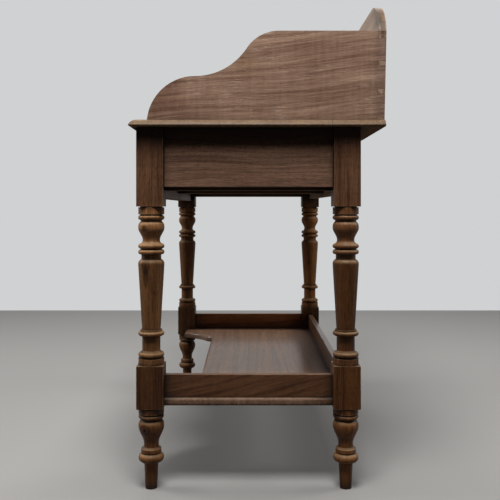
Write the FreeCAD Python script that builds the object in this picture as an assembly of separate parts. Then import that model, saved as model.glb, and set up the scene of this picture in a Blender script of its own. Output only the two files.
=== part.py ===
import FreeCAD
import Part

import math
import os

from FreeCAD import Vector

# Victorian mahogany washstand: a moulded top on four turned legs, a dovetailed splash
# gallery round the back and ends, two drawers in the frieze and a galleried shelf below.
# Millimetres. The front faces -Y, +X is the right-hand end seen from the front, +Z is up.
# The origin is on the floor under the middle of the whole piece, knobs included.

# Table frame
table_height = 750.0
leg_spacing_across = 860.0
leg_spacing_deep = 398.0
leg_size = 54.0

# Clearances: glued joints, and wood that slides on wood
joint_clearance = 0.1
running_clearance = 0.3

# Top board, with a thumbnail moulding along the front and both ends
top_thickness = 15.0
top_front_overhang = 14.0
top_side_overhang = 16.0
top_back_overhang = 48.0
moulding_run = 18.0
moulding_drop = 11.5

# Splash gallery: end boards with a nose, a dip and a crest, and a taller back board
gallery_thickness = 15.0
gallery_nose_setback = 132.0
gallery_nose_height = 87.8
gallery_nose_radius = 97.0
gallery_dip_radius = 125.0
gallery_crest_radius = 78.0
gallery_crest_rise = 91.4
gallery_back_rise = 68.5
gallery_shoulder_run = 95.0
gallery_lean_angle = 1.26
gallery_tail_count = 3
gallery_pin_width = 8.0
gallery_foot_pin = 4.0
gallery_head_pin = 13.0
dovetail_slope = 1.0 / 6.0

# Dowels between the gallery and the top
dowel_radius = 3.0
dowel_bite = 10.0
dowel_margin = 40.0
end_dowel_count = 3
back_dowel_count = 4

# Frieze rails
rail_thickness = 22.0
rail_setback = 10.0
side_rail_drop = 7.0
back_rail_drop = 19.5
front_rail_depth = 36.0
front_rail_setback = 6.0
top_rail_thickness = 20.0
bottom_rail_height = 27.0
drawer_opening_height = 93.5
muntin_width = 40.0

# Frieze joints
tenon_length = 20.0
rail_tenon_thickness = 10.0
rail_tenon_shoulder = 15.0
front_tenon_depth = 22.0
front_tenon_shoulder = 6.0
lap_dovetail_width = 20.0
lap_dovetail_shoulder = 2.0
muntin_tenon_width = 20.0
muntin_tenon_depth = 14.0
muntin_tenon_length = 12.0

# Drawer runners under, guides beside and kickers above the drawers
side_runner_thickness = 13.5
centre_runner_thickness = 11.5
bearer_reach = 18.0
tongue_thickness = 6.0
tongue_length = 8.0
guide_height = 20.0

# Rubbed glue blocks between the back rail and the top
glue_block_size = 18.0
glue_block_length = 60.0

# Screws that hold the top down from below
screw_head_radius = 4.0
screw_head_depth = 3.0
screw_shank_radius = 2.0
screw_point_length = 5.0
screw_bite = 9.0
screw_slot_width = 1.0
screw_slot_depth = 1.0
front_screw_inset = 100.0
kicker_screw_spread = 240.0

# Drawers
drawer_gap = 1.0
drawer_back_room = 10.0
drawer_front_thickness = 20.0
drawer_side_thickness = 10.0
drawer_back_thickness = 10.0
drawer_back_lowering = 8.0
drawer_bottom_thickness = 6.0
drawer_bottom_rise = 9.0
drawer_groove_depth = 5.0
drawer_tail_count = 3
drawer_pin_width = 6.0
drawer_lap = 6.0
drawer_half_pin = 5.0

# Stops behind the drawer fronts, two to a drawer
stop_width = 30.0
stop_height = 6.0
stop_spread = 200.0

# Nails that hold each drawer bottom up to the drawer back
nail_count = 3
nail_radius = 0.9
nail_head_radius = 2.0
nail_head_thickness = 0.8
nail_bite = 14.0
nail_spread = 240.0

# Turned knobs
knob_projection = 26.0
knob_radius = 18.0
knob_dome_height = 7.0
knob_rim_height = 5.0
knob_rim_radius = 15.0
knob_neck_radius = 8.5
knob_collar_radius = 12.0
knob_collar_height = 3.0
knob_spigot_radius = 6.0
knob_spigot_length = 16.0

# Shelf between the lower leg blocks, with a recessed front
shelf_height = 183.5
shelf_thickness = 16.5
shelf_edge_reach = 6.0
shelf_edge_radius = 6.0
shelf_ear_length = 71.0
shelf_cove_run = 47.0
shelf_cove_depth = 64.0
shelf_cove_hollow = 8.0
shelf_lip_run = 22.0
shelf_lip_depth = 24.0
shelf_lip_swell = 3.0
housing_depth = 8.0

# Low gallery round the shelf
low_rail_height = 47.0
low_rail_thickness = 13.5
low_rail_offset = 3.0
low_tenon_length = 10.0
low_tenon_thickness = 7.0
low_tenon_shoulder = 6.0

# Square blocks of the leg, whose corners are rounded off by the turning
upper_block_drop = 19.5
lower_block_margin = 1.0
lower_block_headroom = 22.5
block_shoulder = 3.0

# Turning between the two blocks, from the top down; cuts are depths below the square's faces
quirk_height = 1.5
quirk_cut = 4.0
cap_collar_height = 14.5
cap_collar_cut = 0.5
ring_bead_cut = 0.2
ring_bead_height = 10.0
ring_groove_height = 3.0
ring_groove_cut = 5.2
vase_shoulder_height = 12.8
vase_belly_cut = 0.3
vase_waist_height = 25.5
vase_neck_cut = 9.4
vase_flare_height = 7.0
twin_groove_height = 2.0
twin_groove_cut = 5.0
twin_bead_height = 9.7
throat_height = 10.0
throat_cut = 6.7
taper_shoulder_height = 9.5
taper_top_cut = 0.2
taper_foot_cut = 8.1
ankle_fillet_height = 3.2
ankle_fillet_cut = 4.8
ankle_bead_height = 9.5
ankle_bead_cut = 0.5
ankle_height = 29.8
ankle_cut = 8.5
ankle_flare_height = 3.0
ankle_flare_cut = 7.0
base_bead_height = 11.0
base_bead_cut = 0.6
base_groove_height = 1.5
base_groove_cut = 3.5
base_collar_height = 13.0
base_collar_cut = 0.7

# Turned foot below the lower block, from the top down
foot_quirk_height = 1.5
foot_quirk_cut = 5.0
foot_collar_height = 11.5
foot_collar_cut = 1.0
foot_ring_height = 9.0
foot_ring_cut = 0.9
foot_vase_top_cut = 6.5
foot_shoulder_height = 12.5
foot_belly_cut = 0.8
foot_waist_height = 37.0
foot_neck_cut = 12.0
foot_neck_height = 5.5
foot_flare_height = 3.2
foot_flare_cut = 8.8
foot_band_shoulder = 2.5
foot_band_cut = 6.3
foot_band_height = 5.6
foot_band_edge = 1.2
foot_groove_height = 0.8
foot_groove_cut = 8.3
foot_ball_height = 19.0
foot_ball_cut = 1.0
peg_top_cut = 12.6
peg_foot_cut = 15.0

# Places across the frame
leg_half = leg_size / 2
axis_x = leg_spacing_across / 2
leg_in_x = axis_x - leg_half
leg_out_x = axis_x + leg_half
top_out_x = leg_out_x + top_side_overhang
gallery_out_x = top_out_x - moulding_run
gallery_in_x = gallery_out_x - gallery_thickness
side_rail_out_x = leg_out_x - rail_setback
side_rail_in_x = side_rail_out_x - rail_thickness
bearer_in_x = leg_in_x - bearer_reach
muntin_half = muntin_width / 2

# Places from front to back
frame_depth = leg_spacing_deep + leg_size
front_reach = max(knob_projection - front_rail_setback, top_front_overhang)
gallery_end_height = gallery_nose_height + gallery_crest_rise
gallery_lean = math.radians(gallery_lean_angle)
gallery_reach = (gallery_end_height + gallery_back_rise) * math.sin(gallery_lean)
back_reach = top_back_overhang + gallery_reach - gallery_thickness * (1 - math.cos(gallery_lean))
front_y = (front_reach - frame_depth - back_reach) / 2
back_y = front_y + frame_depth
front_axis_y = front_y + leg_half
back_axis_y = back_y - leg_half
front_leg_back_y = front_y + leg_size
back_leg_front_y = back_y - leg_size
top_front_y = front_y - top_front_overhang
top_back_y = back_y + top_back_overhang
gallery_root_y = top_back_y - gallery_thickness
face_y = front_y + front_rail_setback
front_rail_back_y = face_y + front_rail_depth
front_rail_middle_y = face_y + front_rail_depth / 2
back_rail_back_y = back_y - rail_setback
back_rail_front_y = back_rail_back_y - rail_thickness

# Heights
gallery_end_top = table_height + gallery_end_height
top_under = table_height - top_thickness
opening_top = top_under - top_rail_thickness
runner_top = opening_top - drawer_opening_height
bottom_rail_low = runner_top - bottom_rail_height
side_rail_low = runner_top - side_rail_drop
back_rail_low = runner_top - back_rail_drop
upper_block_low = bottom_rail_low - upper_block_drop
shelf_low = shelf_height - shelf_thickness
lower_block_low = shelf_low - lower_block_margin
lower_block_top = shelf_height + low_rail_height + lower_block_headroom


def block(x, y, z):
    """Block between its limits along the three axes."""
    size = (x[1] - x[0], y[1] - y[0], z[1] - z[0])
    return Part.makeBox(*size, Vector(x[0], y[0], z[0]))


def grown(limits):
    """Limits of a mortise that takes a tenon with the joint clearance all round."""
    return [(low - joint_clearance, high + joint_clearance) for low, high in limits]


def around(middle, width):
    """Limits of a width about its middle."""
    return (middle - width / 2, middle + width / 2)


def spread(low, high, count):
    """Evenly spaced places from one limit to the other."""
    return [low + (high - low) * i / (count - 1) for i in range(count)]


def mirrored(shape):
    """The same piece for the other end of the washstand."""
    return shape.mirror(Vector(0, 0, 0), Vector(1, 0, 0))


def joined(pieces):
    """One solid from overlapping pieces."""
    return pieces[0].fuse(pieces[1:]).removeSplitter()


def extruded(edges, direction):
    """Solid from a closed run of edges."""
    return Part.Face(Part.Wire(Part.__sortEdges__(edges))).extrude(direction)


def polygon_edges(points):
    """Straight edges round a closed polygon."""
    following = points[1:] + points[:1]
    return [Part.LineSegment(a, b).toShape() for a, b in zip(points, following)]


def line(start, end):
    """Straight edge."""
    return Part.LineSegment(start, end).toShape()


def bowed(start, end, rise, normal):
    """Arc over a chord, raised to its left as seen against the normal."""
    chord = end - start
    side = normal.cross(chord).normalize()
    middle = (start + end) * 0.5 + side * rise
    return Part.Arc(start, middle, end).toShape()


class Turning:
    """Outline of a turned piece, traced downwards along its axis."""

    def __init__(self, top):
        self.place = Vector(0, 0, top)
        self.edges = []

    def below(self, radius, drop):
        """Point at a radius, some way below the last one."""
        return Vector(radius, 0, self.place.z - drop)

    def slope(self, radius, drop=0.0):
        """Straight run to a new radius."""
        end = self.below(radius, drop)
        if end.distanceToPoint(self.place) > 0:
            self.edges.append(line(self.place, end))
        self.place = end

    def band(self, radius, height):
        """Straight-sided ring."""
        self.slope(radius)
        self.slope(radius, height)

    def bead(self, radius, height):
        """Half-round ring."""
        self.slope(radius - height / 2)
        end = self.below(self.place.x, height)
        self.edges.append(Part.Arc(self.place, self.below(radius, height / 2), end).toShape())
        self.place = end

    def swell(self, radius, drop):
        """Arc that bulges outwards and is upright at its wider end."""
        self.arc(radius, drop, -math.atan2(abs(radius - self.place.x), drop))

    def hollow(self, radius, drop):
        """Arc that curves inwards and is upright at its narrower end."""
        self.arc(radius, drop, math.atan2(abs(radius - self.place.x), drop))

    def dome(self, radius, drop):
        """Arc that bulges outwards and is level at its start."""
        self.arc(radius, drop, -math.atan2(drop, abs(radius - self.place.x)))

    def arc(self, radius, drop, turn):
        """Arc to a new radius, whose ends turn off its chord by an angle."""
        end = self.below(radius, drop)
        rise = end.distanceToPoint(self.place) * math.tan(turn / 2) / 2
        self.edges.append(bowed(self.place, end, rise, Vector(0, 1, 0)))
        self.place = end

    def vase(self, belly, neck, foot):
        """Smooth run, upright at its belly and neck, each a radius and its drop from the one before."""
        points = [self.place]
        for radius, drop in (belly, neck, foot):
            self.place = self.below(radius, drop)
            points.append(self.place)
        spline = Part.BSplineCurve()
        down = Vector(0, 0, -1)
        spline.interpolate(Points=points, Tangents=[down] * 4, TangentFlags=[False, True, True, False])
        self.edges.append(spline.toShape())

    def solid(self):
        """The turned solid about the Z axis."""
        start = self.edges[0].firstVertex().Point
        self.slope(0.0)
        outline = Part.Wire(self.edges + [line(self.place, start)])
        return Part.Face(outline).revolve(Vector(0, 0, 0), Vector(0, 0, 1), 360)


def squared_block(low, high, round_top):
    """Square length of a leg, with its corners rounded off where the turning starts."""
    corner = math.hypot(leg_half, leg_half)
    pommel = Turning(high)
    height = high - low - block_shoulder
    if round_top:
        pommel.slope(leg_half)
        pommel.swell(corner, block_shoulder)
        height -= block_shoulder
    pommel.band(corner, height)
    pommel.swell(leg_half, block_shoulder)
    square = block(around(0, leg_size), around(0, leg_size), (low, high))
    return square.common(pommel.solid())


def leg_turning():
    """Turned length of a leg, with a plain core through both blocks."""

    def left(cut):
        """Radius left by a cut into the square stock."""
        return leg_half - cut

    turning = Turning(top_under)
    turning.band(left(quirk_cut), top_under - upper_block_low + quirk_height)
    turning.band(left(cap_collar_cut), cap_collar_height)
    turning.band(left(quirk_cut), quirk_height)
    turning.bead(left(ring_bead_cut), ring_bead_height)
    turning.band(left(ring_groove_cut), ring_groove_height)
    turning.vase(
        (left(vase_belly_cut), vase_shoulder_height),
        (left(vase_neck_cut), vase_waist_height),
        (left(ring_groove_cut), vase_flare_height),
    )
    turning.bead(left(ring_bead_cut), ring_bead_height)
    turning.band(left(twin_groove_cut), twin_groove_height)
    turning.bead(left(ring_bead_cut), twin_bead_height)
    turning.band(left(throat_cut), throat_height)
    turning.swell(left(taper_top_cut), taper_shoulder_height)
    below_taper = (
        ankle_fillet_height + ankle_bead_height + ankle_height + ankle_flare_height
        + base_bead_height + base_groove_height + base_collar_height
    )
    turning.slope(left(taper_foot_cut), turning.place.z - lower_block_top - below_taper)
    turning.band(left(ankle_fillet_cut), ankle_fillet_height)
    turning.bead(left(ankle_bead_cut), ankle_bead_height)
    turning.band(left(ankle_cut), ankle_height)
    turning.slope(left(ankle_flare_cut), ankle_flare_height)
    turning.bead(left(base_bead_cut), base_bead_height)
    turning.band(left(base_groove_cut), base_groove_height)
    turning.band(left(base_collar_cut), base_collar_height)

    turning.band(left(foot_quirk_cut), lower_block_top - lower_block_low + foot_quirk_height)
    turning.band(left(foot_collar_cut), foot_collar_height)
    turning.band(left(foot_quirk_cut), foot_quirk_height)
    turning.bead(left(foot_ring_cut), foot_ring_height)
    turning.band(left(foot_vase_top_cut), foot_quirk_height)
    turning.vase(
        (left(foot_belly_cut), foot_shoulder_height),
        (left(foot_neck_cut), foot_waist_height),
        (left(foot_neck_cut), foot_neck_height),
    )
    turning.hollow(left(foot_flare_cut), foot_flare_height)
    turning.swell(left(foot_band_cut), foot_band_shoulder)
    turning.band(left(foot_band_cut), foot_band_height)
    turning.swell(left(foot_band_cut + foot_band_edge), foot_band_edge)
    turning.band(left(foot_groove_cut), foot_groove_height)
    turning.bead(left(foot_ball_cut), foot_ball_height)
    turning.slope(left(peg_top_cut))
    turning.slope(left(peg_foot_cut), turning.place.z)
    return turning.solid()


def leg_blank():
    """Whole leg about the Z axis, before its joints are cut."""
    upper_block = squared_block(upper_block_low, top_under, False)
    lower_block = squared_block(lower_block_low, lower_block_top, True)
    return joined([leg_turning(), upper_block, lower_block])


def lap_dovetail(slack):
    """Dovetail on the right end of the front top rail, or its socket in the leg."""
    tip_x = leg_in_x + tenon_length + slack
    root = lap_dovetail_width / 2 + slack
    tip = root + tenon_length * dovetail_slope
    low = opening_top + lap_dovetail_shoulder - slack
    plan = [
        Vector(leg_in_x, front_rail_middle_y - root, low),
        Vector(tip_x, front_rail_middle_y - tip, low),
        Vector(tip_x, front_rail_middle_y + tip, low),
        Vector(leg_in_x, front_rail_middle_y + root, low),
    ]
    return extruded(polygon_edges(plan), Vector(0, 0, top_under - low))


def tail_spans(low, high, count, pin_width):
    """Heights of equal tails with pins between them."""
    tail = (high - low - (count - 1) * pin_width) / count
    starts = [low + i * (tail + pin_width) for i in range(count)]
    return [(start, start + tail) for start in starts]


def tails(x, root_y, tip_y, spans, slack=0.0):
    """Tails on the end of an upright board, or the sockets that take them."""
    flare = abs(tip_y - root_y) * dovetail_slope
    solids = []
    for low, high in spans:
        outline = [
            Vector(x[0], root_y, low + flare - slack),
            Vector(x[0], tip_y, low - slack),
            Vector(x[0], tip_y, high + slack),
            Vector(x[0], root_y, high - flare + slack),
        ]
        solids.append(extruded(polygon_edges(outline), Vector(x[1] - x[0], 0, 0)))
    return solids


def bearer(x, low, high):
    """Board from the front rail to the back rail with a tongue at each end, and its grooves."""
    y = (front_rail_back_y, back_rail_front_y)
    tongue_y = (front_rail_back_y - tongue_length, back_rail_front_y + tongue_length)
    tongue = (x, tongue_y, around((low + high) / 2, tongue_thickness))
    return joined([block(x, y, (low, high)), block(*tongue)]), block(*grown(tongue))


def side_bearer(low, high):
    """Bearer beside the right legs, filled out to the side rail between them."""
    board, groove = bearer((bearer_in_x, leg_in_x), low, high)
    filling = block(
        (leg_in_x, side_rail_in_x), (front_leg_back_y, back_leg_front_y), (low, high)
    )
    return joined([board, filling]), groove


def screw_body(place, slack=0.0):
    """Countersunk screw driven up from below, or the hole for it."""
    length = top_rail_thickness + screw_bite + slack
    shank_length = length - screw_point_length
    shank = screw_shank_radius + slack
    up = Vector(0, 0, 1)
    head = Part.makeCone(screw_head_radius + slack, shank, screw_head_depth, place, up)
    stem = Part.makeCylinder(shank, shank_length, place, up)
    point = Part.makeCone(shank, 0, screw_point_length, place + up * shank_length, up)
    return joined([head, stem, point])


def screw(place):
    """Screw with a slot across its head."""
    slot = block(
        around(place.x, 2 * screw_head_radius + screw_slot_width),
        around(place.y, screw_slot_width),
        (place.z - screw_slot_depth, place.z + screw_slot_depth),
    )
    return screw_body(place).cut(slot)


def gallery_end_outline(x):
    """Outline of an end board without its tails, from the nose over the dip to the crest."""
    foot = table_height
    nose_y = top_front_y + gallery_nose_setback
    nose_top = foot + gallery_nose_height
    nose_drop = gallery_nose_radius - gallery_nose_height
    nose_run = math.sqrt(gallery_nose_radius ** 2 - nose_drop ** 2)
    nose_turn = math.atan2(nose_run, nose_drop) / 2
    radii = gallery_dip_radius + gallery_crest_radius
    turn = math.acos(1 - gallery_crest_rise / radii)
    crest_y = nose_y + radii * math.sin(turn)
    crest_top = gallery_end_top
    end_y = gallery_root_y + gallery_end_height * math.tan(gallery_lean)

    def on_circle(y, z, radius, angle):
        return Vector(x, y + radius * math.sin(angle), z + radius * math.cos(angle))

    toe = Vector(x, nose_y - nose_run, foot)
    nose_middle = on_circle(nose_y, nose_top - gallery_nose_radius, gallery_nose_radius, -nose_turn)
    nose_end = Vector(x, nose_y, nose_top)
    dip_centre = nose_top + gallery_dip_radius
    dip_middle = on_circle(nose_y, dip_centre, gallery_dip_radius, math.pi - turn / 2)
    dip_end = on_circle(nose_y, dip_centre, gallery_dip_radius, math.pi - turn)
    crest_centre = crest_top - gallery_crest_radius
    crest_middle = on_circle(crest_y, crest_centre, gallery_crest_radius, -turn / 2)
    crest_end = Vector(x, crest_y, crest_top)
    top_corner = Vector(x, end_y, crest_top)
    foot_corner = Vector(x, gallery_root_y, foot)
    return [
        Part.Arc(toe, nose_middle, nose_end).toShape(),
        Part.Arc(nose_end, dip_middle, dip_end).toShape(),
        Part.Arc(dip_end, crest_middle, crest_end).toShape(),
        line(crest_end, top_corner),
        line(top_corner, foot_corner),
        line(foot_corner, toe),
    ]


def gallery_back_outline():
    """Outline of the upright back board, with a rounded shoulder up from each end."""
    foot = table_height - gallery_thickness
    top = gallery_end_top + gallery_back_rise
    radius = (gallery_shoulder_run ** 2 + gallery_back_rise ** 2) / (2 * gallery_back_rise)
    turn = math.asin(gallery_shoulder_run / radius) / 2
    flat_x = gallery_out_x - gallery_shoulder_run
    bow_x = flat_x + radius * math.sin(turn)
    bow_z = top - radius + radius * math.cos(turn)

    def at(x, z):
        return Vector(x, gallery_root_y, z)

    return [
        line(at(-gallery_out_x, foot), at(gallery_out_x, foot)),
        line(at(gallery_out_x, foot), at(gallery_out_x, gallery_end_top)),
        Part.Arc(at(gallery_out_x, gallery_end_top), at(bow_x, bow_z), at(flat_x, top)).toShape(),
        line(at(flat_x, top), at(-flat_x, top)),
        Part.Arc(at(-flat_x, top), at(-bow_x, bow_z), at(-gallery_out_x, gallery_end_top)).toShape(),
        line(at(-gallery_out_x, gallery_end_top), at(-gallery_out_x, foot)),
    ]


def leaned(shape):
    """A shape at the back of the gallery, leaned back about the front foot of the back board."""
    return shape.rotated(
        Vector(0, gallery_root_y, table_height), Vector(1, 0, 0), -gallery_lean_angle
    )


def thumbnail_edges(start, outward):
    """Outline of a moulded edge: a thumbnail down to the nose, then a round in to the underside."""
    radius = (moulding_run ** 2 + moulding_drop ** 2) / (2 * moulding_drop)
    turn = math.asin(moulding_run / radius) / 2
    under_radius = top_thickness - moulding_drop
    down = Vector(0, 0, -1)
    bow = start + outward * (radius * math.sin(turn)) + down * (radius * (1 - math.cos(turn)))
    nose = start + outward * moulding_run + down * moulding_drop
    under_centre = nose - outward * under_radius
    under_bow = under_centre + (outward + down) * (under_radius * math.sqrt(0.5))
    foot = under_centre + down * under_radius
    return [Part.Arc(start, bow, nose).toShape(), Part.Arc(nose, under_bow, foot).toShape()], foot


def moulded_top():
    """Top board, moulded along the front and both ends with mitred corners."""
    across = Vector(1, 0, 0)
    deep = Vector(0, 1, 0)
    front_start = Vector(-top_out_x, top_front_y + moulding_run, table_height)
    front, front_foot = thumbnail_edges(front_start, -deep)
    back_foot = Vector(-top_out_x, top_back_y, top_under)
    back_top = Vector(-top_out_x, top_back_y, table_height)
    long_section = front + [
        line(front_foot, back_foot),
        line(back_foot, back_top),
        line(back_top, front_start),
    ]
    left_start = Vector(-top_out_x + moulding_run, top_front_y, table_height)
    right_start = Vector(top_out_x - moulding_run, top_front_y, table_height)
    left, left_foot = thumbnail_edges(left_start, -across)
    right, right_foot = thumbnail_edges(right_start, across)
    end_section = left + right + [line(left_foot, right_foot), line(left_start, right_start)]
    long_board = extruded(long_section, across * (2 * top_out_x))
    end_board = extruded(end_section, deep * (top_back_y - top_front_y))
    return long_board.common(end_board)


def knob_body(x, z):
    """Turned knob with its spigot, standing out from the drawer face."""
    knob = Turning(knob_projection)
    knob.dome(knob_radius, knob_dome_height)
    knob.swell(knob_rim_radius, knob_rim_height)
    neck_height = knob.place.z - knob_collar_height
    knob.hollow(knob_neck_radius, neck_height / 2)
    knob.hollow(knob_collar_radius, neck_height / 2)
    knob.band(knob_collar_radius, knob_collar_height)
    knob.band(knob_spigot_radius, knob_spigot_length)
    solid = knob.solid()
    solid.rotate(Vector(0, 0, 0), Vector(1, 0, 0), 90)
    solid.translate(Vector(x, face_y, z))
    return solid


nodes = {}


def pair(name, right):
    """Files a right-hand piece and its mirror image."""
    nodes[name + "_right"] = right
    nodes[name + "_left"] = mirrored(right)


# Side rails, with a stub tenon at each end
side_tenon = (
    around((side_rail_in_x + side_rail_out_x) / 2, rail_tenon_thickness),
    (front_leg_back_y - tenon_length, back_leg_front_y + tenon_length),
    (side_rail_low + rail_tenon_shoulder, top_under - rail_tenon_shoulder),
)
side_rail = block(
    (side_rail_in_x, side_rail_out_x), (front_leg_back_y, back_leg_front_y), (side_rail_low, top_under)
)
pair("side_rail", joined([side_rail, block(*side_tenon)]))

# Back rail, tenoned into the back legs
back_tenon = (
    (-leg_in_x - tenon_length, leg_in_x + tenon_length),
    around((back_rail_front_y + back_rail_back_y) / 2, rail_tenon_thickness),
    (back_rail_low + rail_tenon_shoulder, top_under - rail_tenon_shoulder),
)
back_rail = block(
    (-leg_in_x, leg_in_x), (back_rail_front_y, back_rail_back_y), (back_rail_low, top_under)
)
back_rail = joined([back_rail, block(*back_tenon)])

# Front rails above and below the drawers
front_rail_y = (face_y, front_rail_back_y)
bottom_tenon = (
    (-leg_in_x - tenon_length, leg_in_x + tenon_length),
    around(front_rail_middle_y, front_tenon_depth),
    (bottom_rail_low + front_tenon_shoulder, runner_top - front_tenon_shoulder),
)
bottom_rail = block((-leg_in_x, leg_in_x), front_rail_y, (bottom_rail_low, runner_top))
bottom_rail = joined([bottom_rail, block(*bottom_tenon)])
top_rail = block((-leg_in_x, leg_in_x), front_rail_y, (opening_top, top_under))
top_rail = joined([top_rail, lap_dovetail(0.0), mirrored(lap_dovetail(0.0))])

# Muntin between the drawers, tenoned into both front rails
muntin_tenon = (
    around(0, muntin_tenon_width),
    around(front_rail_middle_y, muntin_tenon_depth),
    (runner_top - muntin_tenon_length, opening_top + muntin_tenon_length),
)
muntin = block((-muntin_half, muntin_half), front_rail_y, (runner_top, opening_top))
nodes["centre_muntin"] = joined([muntin, block(*muntin_tenon)])

# Runners, guides and kickers
centre_x = (-muntin_half - bearer_reach, muntin_half + bearer_reach)
centre_runner, centre_runner_groove = bearer(
    centre_x, runner_top - centre_runner_thickness, runner_top
)
side_runner, side_runner_groove = side_bearer(runner_top - side_runner_thickness, runner_top)
centre_kicker, centre_kicker_groove = bearer(centre_x, opening_top, top_under)
side_kicker, side_kicker_groove = side_bearer(opening_top, top_under)
nodes["centre_runner"] = centre_runner
pair("side_runner", side_runner)
guide_z = (runner_top, runner_top + guide_height)
nodes["centre_guide"] = block(
    (-muntin_half, muntin_half), (front_rail_back_y, back_rail_front_y), guide_z
)
pair("side_guide", block(
    (leg_in_x, side_rail_in_x), (front_leg_back_y, back_leg_front_y), guide_z
))

# Screws up through the front top rail and the kickers
bearer_middle_y = (front_rail_back_y + back_rail_front_y) / 2
side_kicker_x = (bearer_in_x + side_rail_in_x) / 2
centre_kicker_x = (centre_x[1] + muntin_half) / 2
front_screw_x = (muntin_half + front_screw_inset, leg_in_x - front_screw_inset)
screw_places = []
for screw_x in front_screw_x:
    screw_places.append(Vector(screw_x, front_rail_middle_y, opening_top))
    screw_places.append(Vector(-screw_x, front_rail_middle_y, opening_top))
for screw_y in around(bearer_middle_y, kicker_screw_spread):
    for screw_x in (-side_kicker_x, -centre_kicker_x, centre_kicker_x, side_kicker_x):
        screw_places.append(Vector(screw_x, screw_y, opening_top))
screw_holes = [screw_body(place, joint_clearance) for place in screw_places]
nodes["top_screws"] = Part.makeCompound([screw(place) for place in screw_places])

side_kickers = [side_kicker, mirrored(side_kicker)]
nodes["side_kicker_right"], nodes["side_kicker_left"] = [k.cut(screw_holes) for k in side_kickers]
nodes["centre_kicker"] = centre_kicker.cut(screw_holes)
runner_grooves = [centre_runner_groove, side_runner_groove, mirrored(side_runner_groove)]
kicker_grooves = [centre_kicker_groove, side_kicker_groove, mirrored(side_kicker_groove)]
muntin_mortise = block(*grown(muntin_tenon))
nodes["front_bottom_rail"] = bottom_rail.cut(runner_grooves + [muntin_mortise])
nodes["front_top_rail"] = top_rail.cut(kicker_grooves + [muntin_mortise] + screw_holes)
nodes["back_rail"] = back_rail.cut(runner_grooves + kicker_grooves)

# Three-cornered glue blocks behind the drawers, under the top
block_middle_x = (centre_x[1] + bearer_in_x) / 2
block_x = around(block_middle_x, glue_block_length)
glue_block = extruded(
    polygon_edges([
        Vector(block_x[0], back_rail_front_y, top_under),
        Vector(block_x[0], back_rail_front_y - glue_block_size, top_under),
        Vector(block_x[0], back_rail_front_y, top_under - glue_block_size),
    ]),
    Vector(glue_block_length, 0, 0),
)
nodes["glue_blocks"] = Part.makeCompound([glue_block, mirrored(glue_block)])

# Gallery boards, dovetailed at the back corners
gallery_x = (gallery_in_x, gallery_out_x)
gallery_spans = tail_spans(
    table_height + gallery_foot_pin,
    gallery_end_top - gallery_head_pin,
    gallery_tail_count,
    gallery_pin_width,
)
gallery_end = extruded(gallery_end_outline(gallery_in_x), Vector(gallery_thickness, 0, 0))
gallery_tails = tails(gallery_x, gallery_root_y, top_back_y, gallery_spans)
gallery_end = joined([gallery_end] + [leaned(tail) for tail in gallery_tails])
gallery_sockets = tails(gallery_x, gallery_root_y, top_back_y, gallery_spans, joint_clearance)
gallery_sockets = [leaned(socket) for socket in gallery_sockets]
top_room = block(
    (-top_out_x, top_out_x), (top_front_y, top_back_y + gallery_thickness),
    (table_height - 2 * gallery_thickness, table_height),
)
gallery_back = leaned(extruded(gallery_back_outline(), Vector(0, gallery_thickness, 0)))
gallery_back = gallery_back.cut([top_room] + gallery_sockets + [mirrored(s) for s in gallery_sockets])

# Dowels between the gallery and the top
end_dowel_x = (gallery_in_x + gallery_out_x) / 2
end_toe_y = top_front_y + gallery_nose_setback - gallery_nose_radius
dowel_places = []
for dowel_y in spread(end_toe_y + dowel_margin, gallery_root_y - dowel_margin, end_dowel_count):
    dowel_places += [Vector(end_dowel_x, dowel_y, 0), Vector(-end_dowel_x, dowel_y, 0)]
for dowel_x in spread(-gallery_in_x + dowel_margin, gallery_in_x - dowel_margin, back_dowel_count):
    dowel_places.append(Vector(dowel_x, top_back_y - gallery_thickness / 2, 0))


def dowel(place, slack=0.0):
    """Dowel half in the top and half in the gallery, or its hole."""
    low = Vector(place.x, place.y, table_height - dowel_bite - slack)
    return Part.makeCylinder(dowel_radius + slack, 2 * (dowel_bite + slack), low)


dowel_holes = [dowel(place, joint_clearance) for place in dowel_places]
nodes["gallery_dowels"] = Part.makeCompound([dowel(place) for place in dowel_places])
nodes["gallery_side_right"] = gallery_end.cut(dowel_holes)
nodes["gallery_side_left"] = mirrored(gallery_end).cut(dowel_holes)
nodes["gallery_back"] = gallery_back.cut(dowel_holes)
nodes["top_board"] = moulded_top().cut(dowel_holes + screw_holes)

# Shelf, let into the inner corners of the lower leg blocks
low_rail_out_x = axis_x - low_rail_offset
low_rail_in_x = low_rail_out_x - low_rail_thickness
low_back_front_y = back_axis_y - low_rail_thickness / 2
low_back_back_y = back_axis_y + low_rail_thickness / 2
shelf_out_x = low_rail_out_x + shelf_edge_reach
shelf_front_y = front_axis_y
shelf_back_y = low_back_back_y + shelf_edge_reach


def shelf_half_edges():
    """Right half of the shelf's outline, from the middle of the back round to the recess."""
    up = Vector(0, 0, 1)
    ear_x = leg_in_x - shelf_ear_length
    back_corner = Vector(shelf_out_x, shelf_back_y, shelf_low)
    front_corner = Vector(shelf_out_x, shelf_front_y, shelf_low)
    ear = Vector(ear_x, shelf_front_y, shelf_low)
    cove_end = ear + Vector(-shelf_cove_run, shelf_cove_depth, 0)
    recess = cove_end + Vector(-shelf_lip_run, shelf_lip_depth, 0)
    return [
        line(Vector(0, shelf_back_y, shelf_low), back_corner),
        line(back_corner, front_corner),
        line(front_corner, ear),
        bowed(ear, cove_end, -shelf_cove_hollow, up),
        bowed(cove_end, recess, shelf_lip_swell, up),
        line(recess, Vector(0, recess.y, shelf_low)),
    ]


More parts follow.
